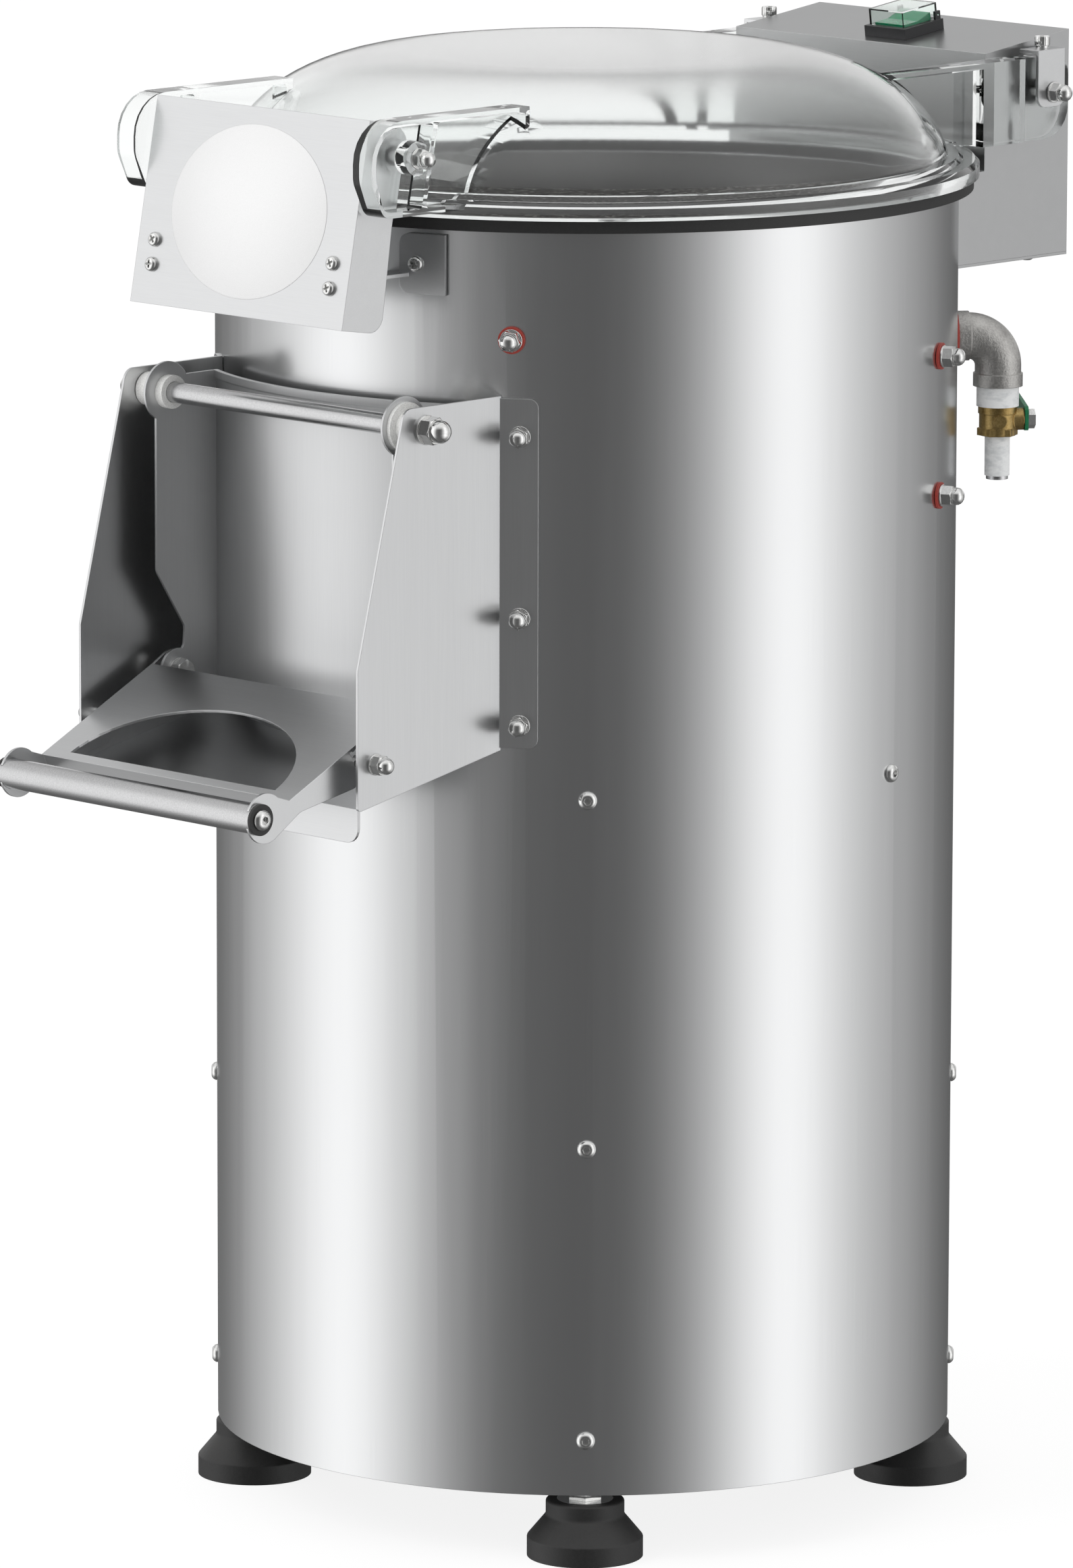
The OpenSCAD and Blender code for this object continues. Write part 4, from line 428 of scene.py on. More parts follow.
@finish
def moulded(tree, place, colour, rough, grain=900.0, depth=0.00006, dust=0.15, pale=(0.35, 0.34, 0.33),
            mottle=0.8):
    """Moulded rubber or plastic with a fine grain and a little settled dust."""
    film = put(tree, "ShaderNodeGroup", {"Vector": place, "Amount": dust, "Speckle Scale": grain},
               node_tree=dust_group("Settled Dust")).outputs
    wear_and_highlight = worn_and_highlit(tree, place, 0.0006, 30.0)
    speckle = film["Speckle"]
    base = ramp(tree, speckle, [(0.35, times(colour, mottle)), (0.65, tuple(colour))])
    base = blend(tree, film["Dust"], base, (*pale, 1.0))
    level = spread(tree, speckle, rough - 0.07, rough + 0.07)
    return {
        "Base Color": rubbed_and_highlit(tree, wear_and_highlight["Edge"], 0.12, base, pale),
        "Roughness": smudged(tree, level, wear_and_highlight["Smudge"], 0.2),
        "Normal": bump(tree, speckle, depth, 0.6, wear_and_highlight["Normal"])}


@finish
def grit_coat(tree, place, colour, painted_glint):
    """Bonded silicon carbide grit: sharp grains of random tone, the palest of them painted as glints on their
    facets.
    """
    cells = put(tree, "ShaderNodeTexVoronoi", {"Vector": place, "Scale": 480.0}, feature="F1").outputs
    tone = put(tree, "ShaderNodeSeparateColor", {0: cells["Color"]}).outputs["Red"]
    # The palest grains are painted glints.
    base = ramp(tree, tone, [(0.0, times(colour, 0.6)), (0.75, colour), (0.92, painted_glint)])
    stain = calc(tree, "MULTIPLY", noise(tree, place, 14.0, 4.0, 0.6), 0.3)
    return {
        "Base Color": blend(tree, stain, base, (0.20, 0.17, 0.13, 1.0)),
        "Roughness": spread(tree, tone, 0.9, 0.45), "Normal": bump(tree, cells["Distance"], 0.0009, 0.9)}


@finish
def clear_moulding(tree, place, colour, rough, frost=None, ior=1.5):
    """Clear polycarbonate, softly hazed towards its crown, with faint flow lines and hairline scratches."""
    flow = noise(tree, scaled(tree, place, (1.0, 1.0, 2.5)), 26.0, 3.0, 0.5)
    hair = noise(tree, scaled(tree, place, (1.0, 0.04, 1.0), (0.0, 0.0, 0.7)), 800.0, 3.0, 0.7)
    base = ramp(tree, flow, [(0.3, times(colour, 0.985)), (0.7, tuple(colour))])
    level = spread(tree, hair, rough * 0.6, rough * 1.6)
    if frost is not None:
        clear_r, haze_r, low_z, high_z, haze = frost
        spot = put(tree, "ShaderNodeSeparateXYZ", {0: place}).outputs
        flat = put(tree, "ShaderNodeCombineXYZ", {0: spot["X"], 1: spot["Y"]}).outputs[0]
        away = put(tree, "ShaderNodeVectorMath", {0: flat}, operation="LENGTH").outputs["Value"]
        inside = spread(tree, away, 0.0, 1.0, clear_r, haze_r, "SMOOTHSTEP")
        mask = calc(tree, "MULTIPLY", inside, spread(tree, spot["Z"], 0.0, 1.0, low_z, high_z))
        level = put(tree, "ShaderNodeMix", {"Factor": mask, 2: level, 3: haze}, data_type="FLOAT").outputs[0]
        base = blend(tree, mask, base, (0.99, 0.99, 0.99, 1.0))
    return {"Base Color": base, "Roughness": level, "IOR": ior, "Transmission Weight": 1.0}


@finish
def wound_tape(tree, place, colour):
    """Stretched white thread tape: fine fibres round the pipe, with painted shade, a little grey, in its
    folds.
    """
    fibres = noise(tree, scaled(tree, place, (0.25, 0.25, 1.0)), 1300.0, 4.0, 0.65)
    folds = noise(tree, scaled(tree, place, (0.5, 0.5, 1.0)), 210.0, 3.0, 0.6)
    height = calc(tree, "ADD", calc(tree, "MULTIPLY", fibres, 0.3), folds)
    return {
        # The grey in the folds is painted shade.
        "Base Color": ramp(tree, folds, [(0.30, (0.62, 0.64, 0.65)), (0.55, tuple(colour))]),
        "Roughness": spread(tree, fibres, 0.4, 0.65), "Normal": bump(tree, height, 0.0006, 0.8)}


@finish
def dipped_lever(tree, place, colour, steel, angle, start):
    """Dipped sheet lever whose nut, past a distance out from the drum's axis, is bare steel."""
    way = (math.cos(math.radians(angle)), math.sin(math.radians(angle)), 0.0)
    along = put(tree, "ShaderNodeVectorMath", {0: place, 1: way}, operation="DOT_PRODUCT").outputs["Value"]
    bare = calc(tree, "GREATER_THAN", along, start * MM)
    speckle = noise(tree, place, 900.0)
    dip = ramp(tree, speckle, [(0.35, times(colour, 0.8)), (0.65, colour)])
    return {
        "Base Color": blend(tree, bare, dip, (*steel, 1.0)), "Metallic": bare,
        "Roughness": spread(tree, bare, 0.35, 0.14), "Normal": bump(tree, speckle, 0.00004, 0.6)}


# Mesh helpers

def solid_from(rows, count=48):
    """Vertices and faces of a turned solid: each row is (radius, z) or (function of the angle, z)."""
    verts, faces, rings = [], [], []
    for radius, z in rows:
        if not callable(radius) and radius == 0.0:
            rings.append([len(verts)])
            verts.append((0.0, 0.0, z))
            continue
        ring = []
        for i in range(count):
            angle = 2.0 * math.pi * i / count
            r = radius(angle) if callable(radius) else radius
            height = z(angle) if callable(z) else z
            ring.append(len(verts))
            verts.append((r * math.cos(angle), r * math.sin(angle), height))
        rings.append(ring)
    for low, high in zip(rings, rings[1:]):
        for i in range(count):
            j = (i + 1) % count
            if len(low) == 1 and len(high) > 1:
                faces.append((low[0], high[j], high[i]))
            elif len(high) == 1 and len(low) > 1:
                faces.append((low[i], low[j], high[0]))
            elif len(low) > 1:
                faces.append((low[i], low[j], high[j], high[i]))
    return verts, faces


def joined(parts):
    """One (vertices, faces) from several, each with its own matrix."""
    verts, faces = [], []
    for (points, polys), matrix in parts:
        start = len(verts)
        verts += [tuple(matrix @ Vector(p)) for p in points]
        faces += [tuple(start + i for i in poly) for poly in polys]
    return verts, faces


def mesh_of(name, shape):
    """A smooth-shaded mesh with its sharp edges kept."""
    verts, faces = shape
    mesh = bpy.data.meshes.new(name)
    mesh.from_pydata(verts, [], faces)
    mesh.validate()
    mesh.shade_smooth()
    mesh.set_sharp_from_angle(angle=SHARP)
    return mesh


def settle(made, material, body, replaces=()):
    """Links a piece, gives it its material, hides the CAD parts it replaces, and hangs it on its body."""
    if made.name not in bpy.context.scene.collection.objects:
        bpy.context.scene.collection.objects.link(made)
    made.data.materials.clear()
    made.data.materials.append(material)
    if replaces:
        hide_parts(*replaces)
    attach(made, body)
    return made


def hexagon(radius):
    """Radius of a hexagon's outline at an angle, over its corners."""
    def at(angle):
        part = (angle % (math.pi / 3.0)) - math.pi / 6.0
        return min(radius, radius * math.cos(math.pi / 6.0) / math.cos(part))
    return at


def chamfered(radius, z, top, slope=0.55):
    """Radius of a hexagon cut by a cone that starts at the flats at height top."""
    flat = radius * math.cos(math.pi / 6.0)

    def at(angle):
        return min(hexagon(radius)(angle), flat + (top - z) / slope)
    return at


def hex_rows(radius, low, high):
    """Rows of a hexagon with a chamfer round its top."""
    drop = radius * (1.0 - math.cos(math.pi / 6.0)) * 0.55
    rows = [(hexagon(radius), low)]
    for share in (0.0, 0.35, 0.7, 1.0):
        z = high - drop * (1.0 - share)
        rows.append((chamfered(radius, z, high), z))
    return rows


def oval(wide, high):
    """Radius of an oval's outline at an angle."""
    def at(angle):
        return wide * high / math.hypot(high * math.cos(angle), wide * math.sin(angle))
    return at


def cross(radius, arm):
    """Radius of a cross recess's outline at an angle."""
    def at(angle):
        part = abs((angle + math.pi / 4.0) % (math.pi / 2.0) - math.pi / 4.0)
        along = radius / max(math.cos(part), 1e-6)
        across = arm / max(math.sin(part), 1e-6)
        return max(min(along, across), arm * 1.25)
    return at


# Fasteners. Each stands on +Z with its seat at the origin, and its tail reaches down

def cap_nut(k, tail):
    """Domed cap nut on its washer, k times the common size, with the end of its M6 screw behind it."""
    sizes = bpy.context.scene.peeler_fasteners
    washer_r, washer_t = sizes.washer_r * k, 0.0012 * k
    base, top = washer_t, washer_t + sizes.nut_h * k
    neck_r, dome_r, dome_h = sizes.dome_r * k * 0.94, sizes.dome_r * k, sizes.dome_h * k
    rows = [(0.0, -tail), (M6_R, -tail), (M6_R, 0.0)] if tail > 0 else [(0.0, 0.0)]
    rows += [(washer_r - 0.0002, 0.0), (washer_r, 0.0002), (washer_r, washer_t - 0.0002),
             (washer_r - 0.0002, washer_t)]
    rows += hex_rows(sizes.nut_r * k, base, top)
    rows += [(neck_r, top), (neck_r, top + 0.0004 * k), (dome_r, top + 0.0008 * k)]
    straight = dome_h - dome_r * 0.85
    for i in range(7):
        turn = math.radians(i * 90.0 / 6.0)
        radius = dome_r * math.cos(turn) if i < 6 else 0.0
        rows.append((radius, top + straight + dome_r * 0.85 * math.sin(turn)))
    return solid_from(rows)


def button_head(radius, height, shank_r, tail):
    """Button-head screw with a hexagon socket."""
    socket = hexagon(radius * 0.40)
    rows = [(0.0, -tail), (shank_r, -tail), (shank_r, 0.0), (radius * 0.97, 0.0), (radius, height * 0.06),
            (radius, height * 0.20), (radius * 0.95, height * 0.45), (radius * 0.85, height * 0.70),
            (radius * 0.72, height * 0.88), (radius * 0.60, height * 0.98), (radius * 0.56, height),
            (lambda a: socket(a) * 1.06, height), (socket, height * 0.95), (socket, height * 0.36),
            (0.0, height * 0.30)]
    return solid_from(rows)


def pan_head(radius, height, shank_r, tail):
    """Pan-head screw with a cross recess."""
    wide, narrow = cross(radius * 0.56, radius * 0.15), cross(radius * 0.30, radius * 0.09)
    rows = [(0.0, -tail), (shank_r, -tail), (shank_r, 0.0), (radius * 0.97, 0.0), (radius, height * 0.08),
            (radius * 0.99, height * 0.30), (radius * 0.93, height * 0.62), (radius * 0.82, height * 0.86),
            (radius * 0.70, height * 0.97), (radius * 0.62, height), (wide, height),
            (narrow, height * 0.30), (0.0, height * 0.22)]
    return solid_from(rows, 64)


def socket_cap(radius, height, shank_r, tail, washer_r, washer_t, plate_t):
    """Socket-head cap screw with a ribbed rim, on its washer, with a spacer under its plate."""
    def ribbed(angle):
        return radius * (1.0 - 0.035 * (0.5 + 0.5 * math.cos(24.0 * angle)))
    socket = hexagon(radius * 0.55)
    top = washer_t + height
    rows = [(0.0, -tail), (shank_r, -tail), (shank_r, -2.0 * plate_t), (washer_r, -2.0 * plate_t),
            (washer_r, -plate_t), (shank_r, -plate_t), (shank_r, 0.0), (washer_r, 0.0), (washer_r, washer_t),
            (radius * 0.96, washer_t), (ribbed, washer_t + height * 0.08), (ribbed, top - height * 0.16),
            (radius * 0.93, top), (lambda a: socket(a) * 1.05, top), (socket, top - height * 0.05),
            (socket, top - height * 0.55), (0.0, top - height * 0.62)]
    return solid_from(rows, 96)


def plain_nut(radius, low, high):
    """Hexagon with a chamfer round its top."""
    return solid_from([(0.0, low), *hex_rows(radius, low, high), (0.0, high)])


def lifted(z):
    """A shift along Z."""
    return Matrix.Translation((0.0, 0.0, z))


def pivot_bolt():
    """The door lever's pivot: a button head, a spacer, and a washer and a nut inside the ear."""
    wide, shank, washer_t, spacer_t, inner_z = 0.007, 0.004, 0.0012, 0.0022, -0.007
    spacer = solid_from([(0.0, 0.0), (wide, 0.0), (wide, spacer_t), (0.0, spacer_t)])
    rows = [(0.0, 0.0), (shank, 0.0), (wide, 0.0), (wide, washer_t), (shank, washer_t), (0.0, washer_t)]
    nut = plain_nut(0.0068, 0.0, 0.0055)
    return joined([
        (button_head(wide, 0.0034, shank, 0.0113), Matrix()), (spacer, lifted(-0.0043)),
        (solid_from(rows), lifted(inner_z)), (nut, lifted(inner_z) @ FLIP)])


@once
def standing_group(name):
    """Geometry nodes that stand one fastener on every point, along the point's own direction."""
    tree, ins, out = group(
        name, "GeometryNodeTree",
        [("Points", "Geometry"), ("Fastener", "Object"), ("Size", "Float", 1.0), ("Seed", "Int"),
         ("Finish", "Material")], [("Fasteners", "Geometry")])
    shape = put(tree, "GeometryNodeObjectInfo", {"Object": ins["Fastener"], "As Instance": True})
    away = put(tree, "GeometryNodeInputNamedAttribute", {"Name": "facing"}, data_type="FLOAT_VECTOR")
    aimed = put(tree, "FunctionNodeAlignRotationToVector", {"Vector": away.outputs["Attribute"]}, axis="Z")
    spin = put(tree, "FunctionNodeRandomValue", {"Seed": ins["Seed"], 2: 0.0, 3: 2.0 * math.pi},
               data_type="FLOAT")
    turn = put(tree, "FunctionNodeAxisAngleToRotation", {"Axis": (0.0, 0.0, 1.0), "Angle": spin.outputs[1]})
    both = put(tree, "FunctionNodeRotateRotation", {
        "Rotation": aimed.outputs[0], "Rotate By": turn.outputs[0]}, rotation_space="LOCAL")
    stand = put(tree, "GeometryNodeInstanceOnPoints", {
        "Points": ins["Points"], "Instance": shape.outputs["Geometry"],
        "Rotation": both.outputs[0], "Scale": ins["Size"]})
    real = put(tree, "GeometryNodeRealizeInstances", {"Geometry": stand.outputs[0]})
    last = put(tree, "GeometryNodeSetMaterial", {"Geometry": real.outputs[0], "Material": ins["Finish"]})
    plug_in(tree, out, {"Fasteners": last.outputs[0]})
    return tree


def add_nodes(item, tree, values):
    """Gives an object a Geometry Nodes step with its inputs set, and returns the step."""
    step = item.modifiers.new(tree.name, "NODES")
    step.node_group = tree
    for plug in tree.interface.items_tree:
        if plug.in_out == "INPUT" and plug.name in values:
            step[plug.identifier] = values[plug.name]
    return step


def scatter(name, unit, places, body, replaced, draw):
    """A set of like fasteners: unit stands on each (point, direction) of places, given in millimetres.
    The draw is added to the seed for how far each one is turned."""
    sample = bpy.data.objects.new(name + "_sample", mesh_of(name + "_sample", unit))
    points = bpy.data.meshes.new(name + "_points")
    points.from_pydata([Vector(p) * MM for p, _ in places], [], [])
    facing = points.attributes.new("facing", "FLOAT_VECTOR", "POINT")
    for item, (_, way) in zip(facing.data, places):
        item.vector = Vector(way).normalized()
    carrier = bpy.data.objects.new(name + "_carrier", points)
    for helper in (sample, carrier):
        bpy.context.scene.collection.objects.link(helper)
    seed = bpy.context.scene.peeler_fasteners.seed + draw
    step = add_nodes(carrier, standing_group("Stand Fasteners"), {
        "Fastener": sample, "Size": 1.0, "Seed": seed, "Finish": bright_finish()})
    graph = bpy.context.evaluated_depsgraph_get()
    mesh = bpy.data.meshes.new_from_object(carrier.evaluated_get(graph))
    mesh.name = name
    carrier.modifiers.remove(step)
    for helper in (sample, carrier):
        bpy.data.objects.remove(helper)
    mesh.set_sharp_from_angle(angle=SHARP)
    return settle(bpy.data.objects.new(name, mesh), bright_finish(), body, (replaced,))


def round_drum(spots, radius=DRUM_R):
    """Points on the drum from (angle from +X, z) spots, each with the direction outwards."""
    ways = [(math.cos(math.radians(a)), math.sin(math.radians(a)), 0.0) for a, _ in spots]
    return [((way[0] * radius, way[1] * radius, z), way) for way, (_, z) in zip(ways, spots)]


def pair(x, spot):
    """A place at (x, y, z) facing outwards and its mirror image."""
    return both_sides([((x, *spot), ACROSS)])


def leaning(pivot, slope, point):
    """A point in a frame turned about X at (y, z) = pivot."""
    a = math.radians(slope)
    x, y, z = point
    return (x, pivot[0] + y * math.cos(a) - z * math.sin(a), pivot[1] + y * math.sin(a) + z * math.cos(a))


def both_sides(places):
    """The places and their mirror images across the middle plane."""
    return places + [((-p[0], p[1], p[2]), (-w[0], w[1], w[2])) for p, w in places]


@once
def smoothing_group(name):
    """Geometry nodes that round the shading, with edges sharper than an angle kept."""
    tree, ins, out = group(
        name, "GeometryNodeTree", [("Mesh", "Geometry"), ("Angle", "Float", 0.5)], [("Mesh", "Geometry")])
    plain = put(tree, "GeometryNodeRemoveAttribute", {"Geometry": ins["Mesh"], "Name": "custom_normal"})
    welded = put(tree, "GeometryNodeMergeByDistance", {"Geometry": plain.outputs[0], "Distance": 0.00001})
    turn = tree.nodes.new("GeometryNodeInputMeshEdgeAngle").outputs["Unsigned Angle"]
    soft = put(tree, "FunctionNodeCompare", {0: turn, 1: ins["Angle"]},
               data_type="FLOAT", operation="LESS_THAN")
    faces = put(tree, "GeometryNodeSetShadeSmooth", {"Geometry": welded.outputs[0], "Shade Smooth": True},
                domain="FACE")
    edges = put(tree, "GeometryNodeSetShadeSmooth", {
        "Geometry": faces.outputs[0], "Shade Smooth": soft.outputs[0]}, domain="EDGE")
    plug_in(tree, out, {"Mesh": edges.outputs[0]})
    return tree


def smooth_node(name, angle=30.0):
    """Rounds the shading of a CAD node's curved faces."""
    add_nodes(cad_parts[name], smoothing_group("Smooth Shading"), {"Angle": math.radians(angle)})


def finish_node(material, *names):
    """Gives CAD nodes their material."""
    for name in names:
        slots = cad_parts[name].data.materials
        slots.clear()
        slots.append(material)


# The finishes

def drum_finish():
    steel = bpy.context.scene.peeler_steel
    return brushed_steel("Drum Brushed Steel", steel.drum, steel.drum_rough, (1.0, 1.0, 0.008), contrast=0.02,
                         depth=0.000008, edge=steel.edge, vary=0.025)


def satin(name, grain=(0.03, 1.0, 1.0), tone=1.0, softer=0.0):
    """The satin sheet brushed along one direction, painted darker as shade where asked, and softer where
    asked.
    """
    steel = bpy.context.scene.peeler_steel
    return brushed_steel(name, times(steel.sheet, tone), steel.sheet_rough + softer, grain, contrast=0.035,
                         depth=0.00001, edge=steel.edge, vary=0.04)


def frame_finish():
    return brushed_steel("Rolled Frame Steel", (0.42, 0.43, 0.44), 0.42, (0.2, 0.2, 1.0), contrast=0.18)


def bright_finish():
    steel = bpy.context.scene.peeler_steel
    return bright_steel("Bright Fastener Steel", steel.bright, steel.bright_rough)


def tube_finish():
    return bright_steel("Satin Tube Steel", (0.60, 0.60, 0.605), 0.22, 1500.0, scratch_depth=0.000004)


def shaft_finish():
    return bright_steel("Ground Shaft Steel", (0.62, 0.62, 0.63), 0.22, 1500.0)


def rubber_finish():
    plastics = bpy.context.scene.peeler_plastics
    return moulded("Black Rubber", plastics.rubber, 0.52, 700.0, 0.00008, 0.10)


# Operators

class PEELER_OT_stage(bpy.types.Operator):
    """Makes the floor, the light and the camera"""
    bl_idname = "peeler.stage"
    bl_label = "Stage"

    def execute(self, context):
        stage = context.scene.peeler_stage
        context.scene.view_settings.view_transform = "Standard"
        self.world(context.scene, stage)
        self.floor(stage)
        self.lamps(stage)
        self.camera(context.scene, stage)
        return {"FINISHED"}

    def world(self, scene, stage):
        """A light tent: white where the camera looks, with two tall soft lights in reflections."""
        made = bpy.data.worlds.new("Studio Tent")
        made.use_nodes = True
        tree = made.node_tree
        tree.nodes.clear()
        way = tree.nodes.new("ShaderNodeTexCoord").outputs["Generated"]
        away = stage.azimuth - math.pi / 2.0
        turned = put(tree, "ShaderNodeMapping", {"Vector": way, "Rotation": (0.0, 0.0, -away)}).outputs[0]
        axes = put(tree, "ShaderNodeSeparateXYZ", {0: turned}).outputs
        angle = calc(tree, "ARCTAN2", axes["Y"], axes["X"])
        share = spread(tree, angle, 0.0, 1.0, -math.pi, math.pi)
        # A ramp holds no level above 1, so the levels go in halved and are doubled after it
        halves = ramp(tree, share, [(place, level / 2.0) for place, level in TENT_LEVELS], "B_SPLINE")
        tall = blend(tree, 1.0, halves, (2.0, 2.0, 2.0, 1.0), "MULTIPLY")
        high = ramp(tree, axes["Z"], [(0.0, 0.0), (0.07, 1.0), (0.24, 1.0), (0.38, 0.35)])
        behind = spread(tree, axes["X"], 0.0, 1.0, -0.30, -0.80)
        wall = blend(tree, calc(tree, "MULTIPLY", high, behind), tall, (0.98, 0.98, 0.98, 1.0))
        rise = calc(tree, "ABSOLUTE", axes["Z"])
        top = spread(tree, rise, 0.0, 1.0, 0.45, 0.85)
        above = calc(tree, "GREATER_THAN", axes["Z"], 0.0)
        ends = blend(tree, above, (0.14, 0.14, 0.14, 1.0), (0.95, 0.95, 0.95, 1.0))
        tent = blend(tree, top, wall, ends)
        path = tree.nodes.new("ShaderNodeLightPath").outputs
        seen = seen_directly(tree, path)
        inside = calc(tree, "MULTIPLY", calc(tree, "GREATER_THAN", path["Transmission Depth"], 0.5), 0.5)
        tent = blend(tree, inside, tent, WHITE)
        soft = blend(tree, path["Is Glossy Ray"], (stage.ambient, stage.ambient, stage.ambient, 1.0), tent)
        colour = blend(tree, seen, soft, WHITE)
        back = put(tree, "ShaderNodeBackground", {"Color": colour, "Strength": 1.0})
        out = tree.nodes.new("ShaderNodeOutputWorld")
        tree.links.new(back.outputs[0], out.inputs["Surface"])
        scene.world = made

    def floor(self, stage):
        """A wide pale floor that keeps the object's shadow."""
        mesh = bpy.data.meshes.new("studio_floor")
        corners = [(-30.0, -30.0, 0.0), (30.0, -30.0, 0.0), (30.0, 30.0, 0.0), (-30.0, 30.0, 0.0)]
        mesh.from_pydata(corners, [], [(0, 1, 2, 3)])
        made = bpy.data.objects.new("studio_floor", mesh)
        bpy.context.scene.collection.objects.link(made)
        pale, tree, shader, place = fresh("Studio Floor")
        stops = [(0.3, times(stage.floor, 0.985)), (0.7, tuple(stage.floor))]
        base = ramp(tree, noise(tree, place, 6.0), stops)
        plug_in(tree, shader, {"Base Color": base, "Roughness": 0.9})
        path = tree.nodes.new("ShaderNodeLightPath").outputs
        seen = seen_directly(tree, path)
        glow = put(tree, "ShaderNodeEmission", {"Color": WHITE, "Strength": 1.08})
        mixed = put(tree, "ShaderNodeMixShader", {
            0: calc(tree, "MULTIPLY", seen, 0.80), 1: shader.outputs[0], 2: glow.outputs[0]})
        out = next(n for n in tree.nodes if n.type == "OUTPUT_MATERIAL")
        tree.links.new(mixed.outputs[0], out.inputs["Surface"])
        mesh.materials.append(pale)
        made.visible_glossy = False

    def lamps(self, stage):
        """One large soft lamp at the upper left of the camera."""
        lamp = bpy.data.lights.new("Key Lamp", "AREA")
        lamp.energy = stage.key
        lamp.size = 2.4
        made = bpy.data.objects.new("Key Lamp", lamp)
        made.location = (-1.2, -3.4, 3.4)
        made.rotation_mode = "QUATERNION"
        made.rotation_quaternion = (Vector((0.0, 0.0, 0.4)) - made.location).to_track_quat("-Z", "Y")
        made.visible_camera = False
        made.visible_glossy = False
        bpy.context.scene.collection.objects.link(made)

    def camera(self, scene, stage):
        """The photograph's place, view and lens."""
        data = bpy.data.cameras.new("Camera")
        data.lens = stage.lens
        data.sensor_width = 36.0
        data.sensor_fit = "AUTO"
        data.clip_start, data.clip_end = 0.1, 100.0
        made = bpy.data.objects.new("Camera", data)
        turned = Matrix.Rotation
        stand = turned(stage.azimuth, 4, "Z") @ Matrix.Translation((0.0, -stage.distance, stage.height))
        aim = turned(-stage.yaw, 4, "Z") @ turned(math.pi / 2.0 - stage.pitch, 4, "X")
        made.matrix_world = stand @ aim @ turned(stage.roll, 4, "Z")
        scene.collection.objects.link(made)
        scene.camera = made


class PEELER_OT_drum(bpy.types.Operator):
    """Finishes the drum, its base ring and the shell screws"""
    bl_idname = "peeler.drum"
    bl_label = "Drum"

    def execute(self, context):
        finish_node(drum_finish(), "drum_shell")
        smooth_node("drum_shell")
        finish_node(frame_finish(), "base_ring", "motor_plate")
        screw = button_head(context.scene.peeler_fasteners.button_r, 0.003, M6_R, 0.010)
        scatter("shell_button_screws", screw, round_drum(SHELL_SCREWS), "base", "shell_screws", 0)
        return {"FINISHED"}


class PEELER_OT_chamber(bpy.types.Operator):
    """Finishes the peeling chamber: floor, liner, disc, cap nuts and gaskets"""
    bl_idname = "peeler.chamber"
    bl_label = "Chamber"

    def execute(self, context):
        finish_node(satin("Satin Sheet Steel"), "chamber_floor", "drain_pipe")
        finish_node(grit_coat("Carbide Grit", (0.075, 0.07, 0.065), (0.30, 0.29, 0.27)),
                    "abrasive_liner", "abrasive_disc")
        finish_node(bright_finish(), "disc_bolt")
        red = context.scene.peeler_plastics.gasket
        finish_node(moulded("Red Gasket", red, 0.45, 1200.0, 0.00003, 0.03), "liner_gaskets")
        scatter("liner_cap_nuts", cap_nut(1.0, tail=0.013), round_drum(LINER_NUTS, DRUM_R + GASKET_T),
                "base", "liner_nuts", 1)
        return {"FINISHED"}


class PEELER_OT_drive(bpy.types.Operator):
    """Finishes the motor, the belt drive and the spindle"""
    bl_idname = "peeler.drive"
    bl_label = "Drive"

    def execute(self, context):
        enamel = cast_metal("Motor Enamel", (0.085, 0.095, 0.105), (0.06, 0.065, 0.07), 0.38, 900.0, 0.0001,
                            metallic=0.0)
        finish_node(enamel, "motor_body")
        finish_node(cast_metal("Pulley Iron", (0.20, 0.20, 0.205), (0.10, 0.10, 0.10), 0.45), "motor_pulley",
                    "drive_pulley")
        finish_node(cast_metal("Bearing Housing Casting", (0.34, 0.345, 0.35), (0.20, 0.20, 0.20), 0.5),
                    "bearing_housing")
        finish_node(shaft_finish(), "motor_shaft", "spindle", "spindle_bearings")
        finish_node(rubber_finish(), "drive_belt")
        return {"FINISHED"}


class PEELER_OT_feet(bpy.types.Operator):
    """Finishes the rubber feet and their studs"""
    bl_idname = "peeler.feet"
    bl_label = "Feet"

    def execute(self, context):
        finish_node(rubber_finish(), "feet")
        finish_node(bright_finish(), "foot_studs")
        return {"FINISHED"}


class PEELER_OT_chute(bpy.types.Operator):
    """Finishes the chute: cheeks, floor, catch pins and cap nuts"""
    bl_idname = "peeler.chute"
    bl_label = "Chute"

    def execute(self, context):
        finish_node(satin("Upright Brushed Sheet", UPRIGHT), "left_cheek", "right_cheek")
        finish_node(satin("Satin Sheet Steel"), "chute_floor")
        scatter("chute_cap_nuts", cap_nut(0.95, tail=0.0051), round_drum(CHUTE_NUTS, DRUM_R + SHEET_T),
                "base", "chute_nuts", 2)
        low, high, rim = -0.014, -0.0015, 0.004
        stub = solid_from([(0.0, low), (rim - 0.0003, low), (rim, low + 0.0003), (rim, high), (0.0, high)])
        scatter("catch_pins_and_nuts", joined([(cap_nut(0.95, tail=0.0055), Matrix()), (stub, Matrix())]),
                pair(CHEEK_X, CATCH_PIN), "base", "catch_pins", 3)
        return {"FINISHED"}


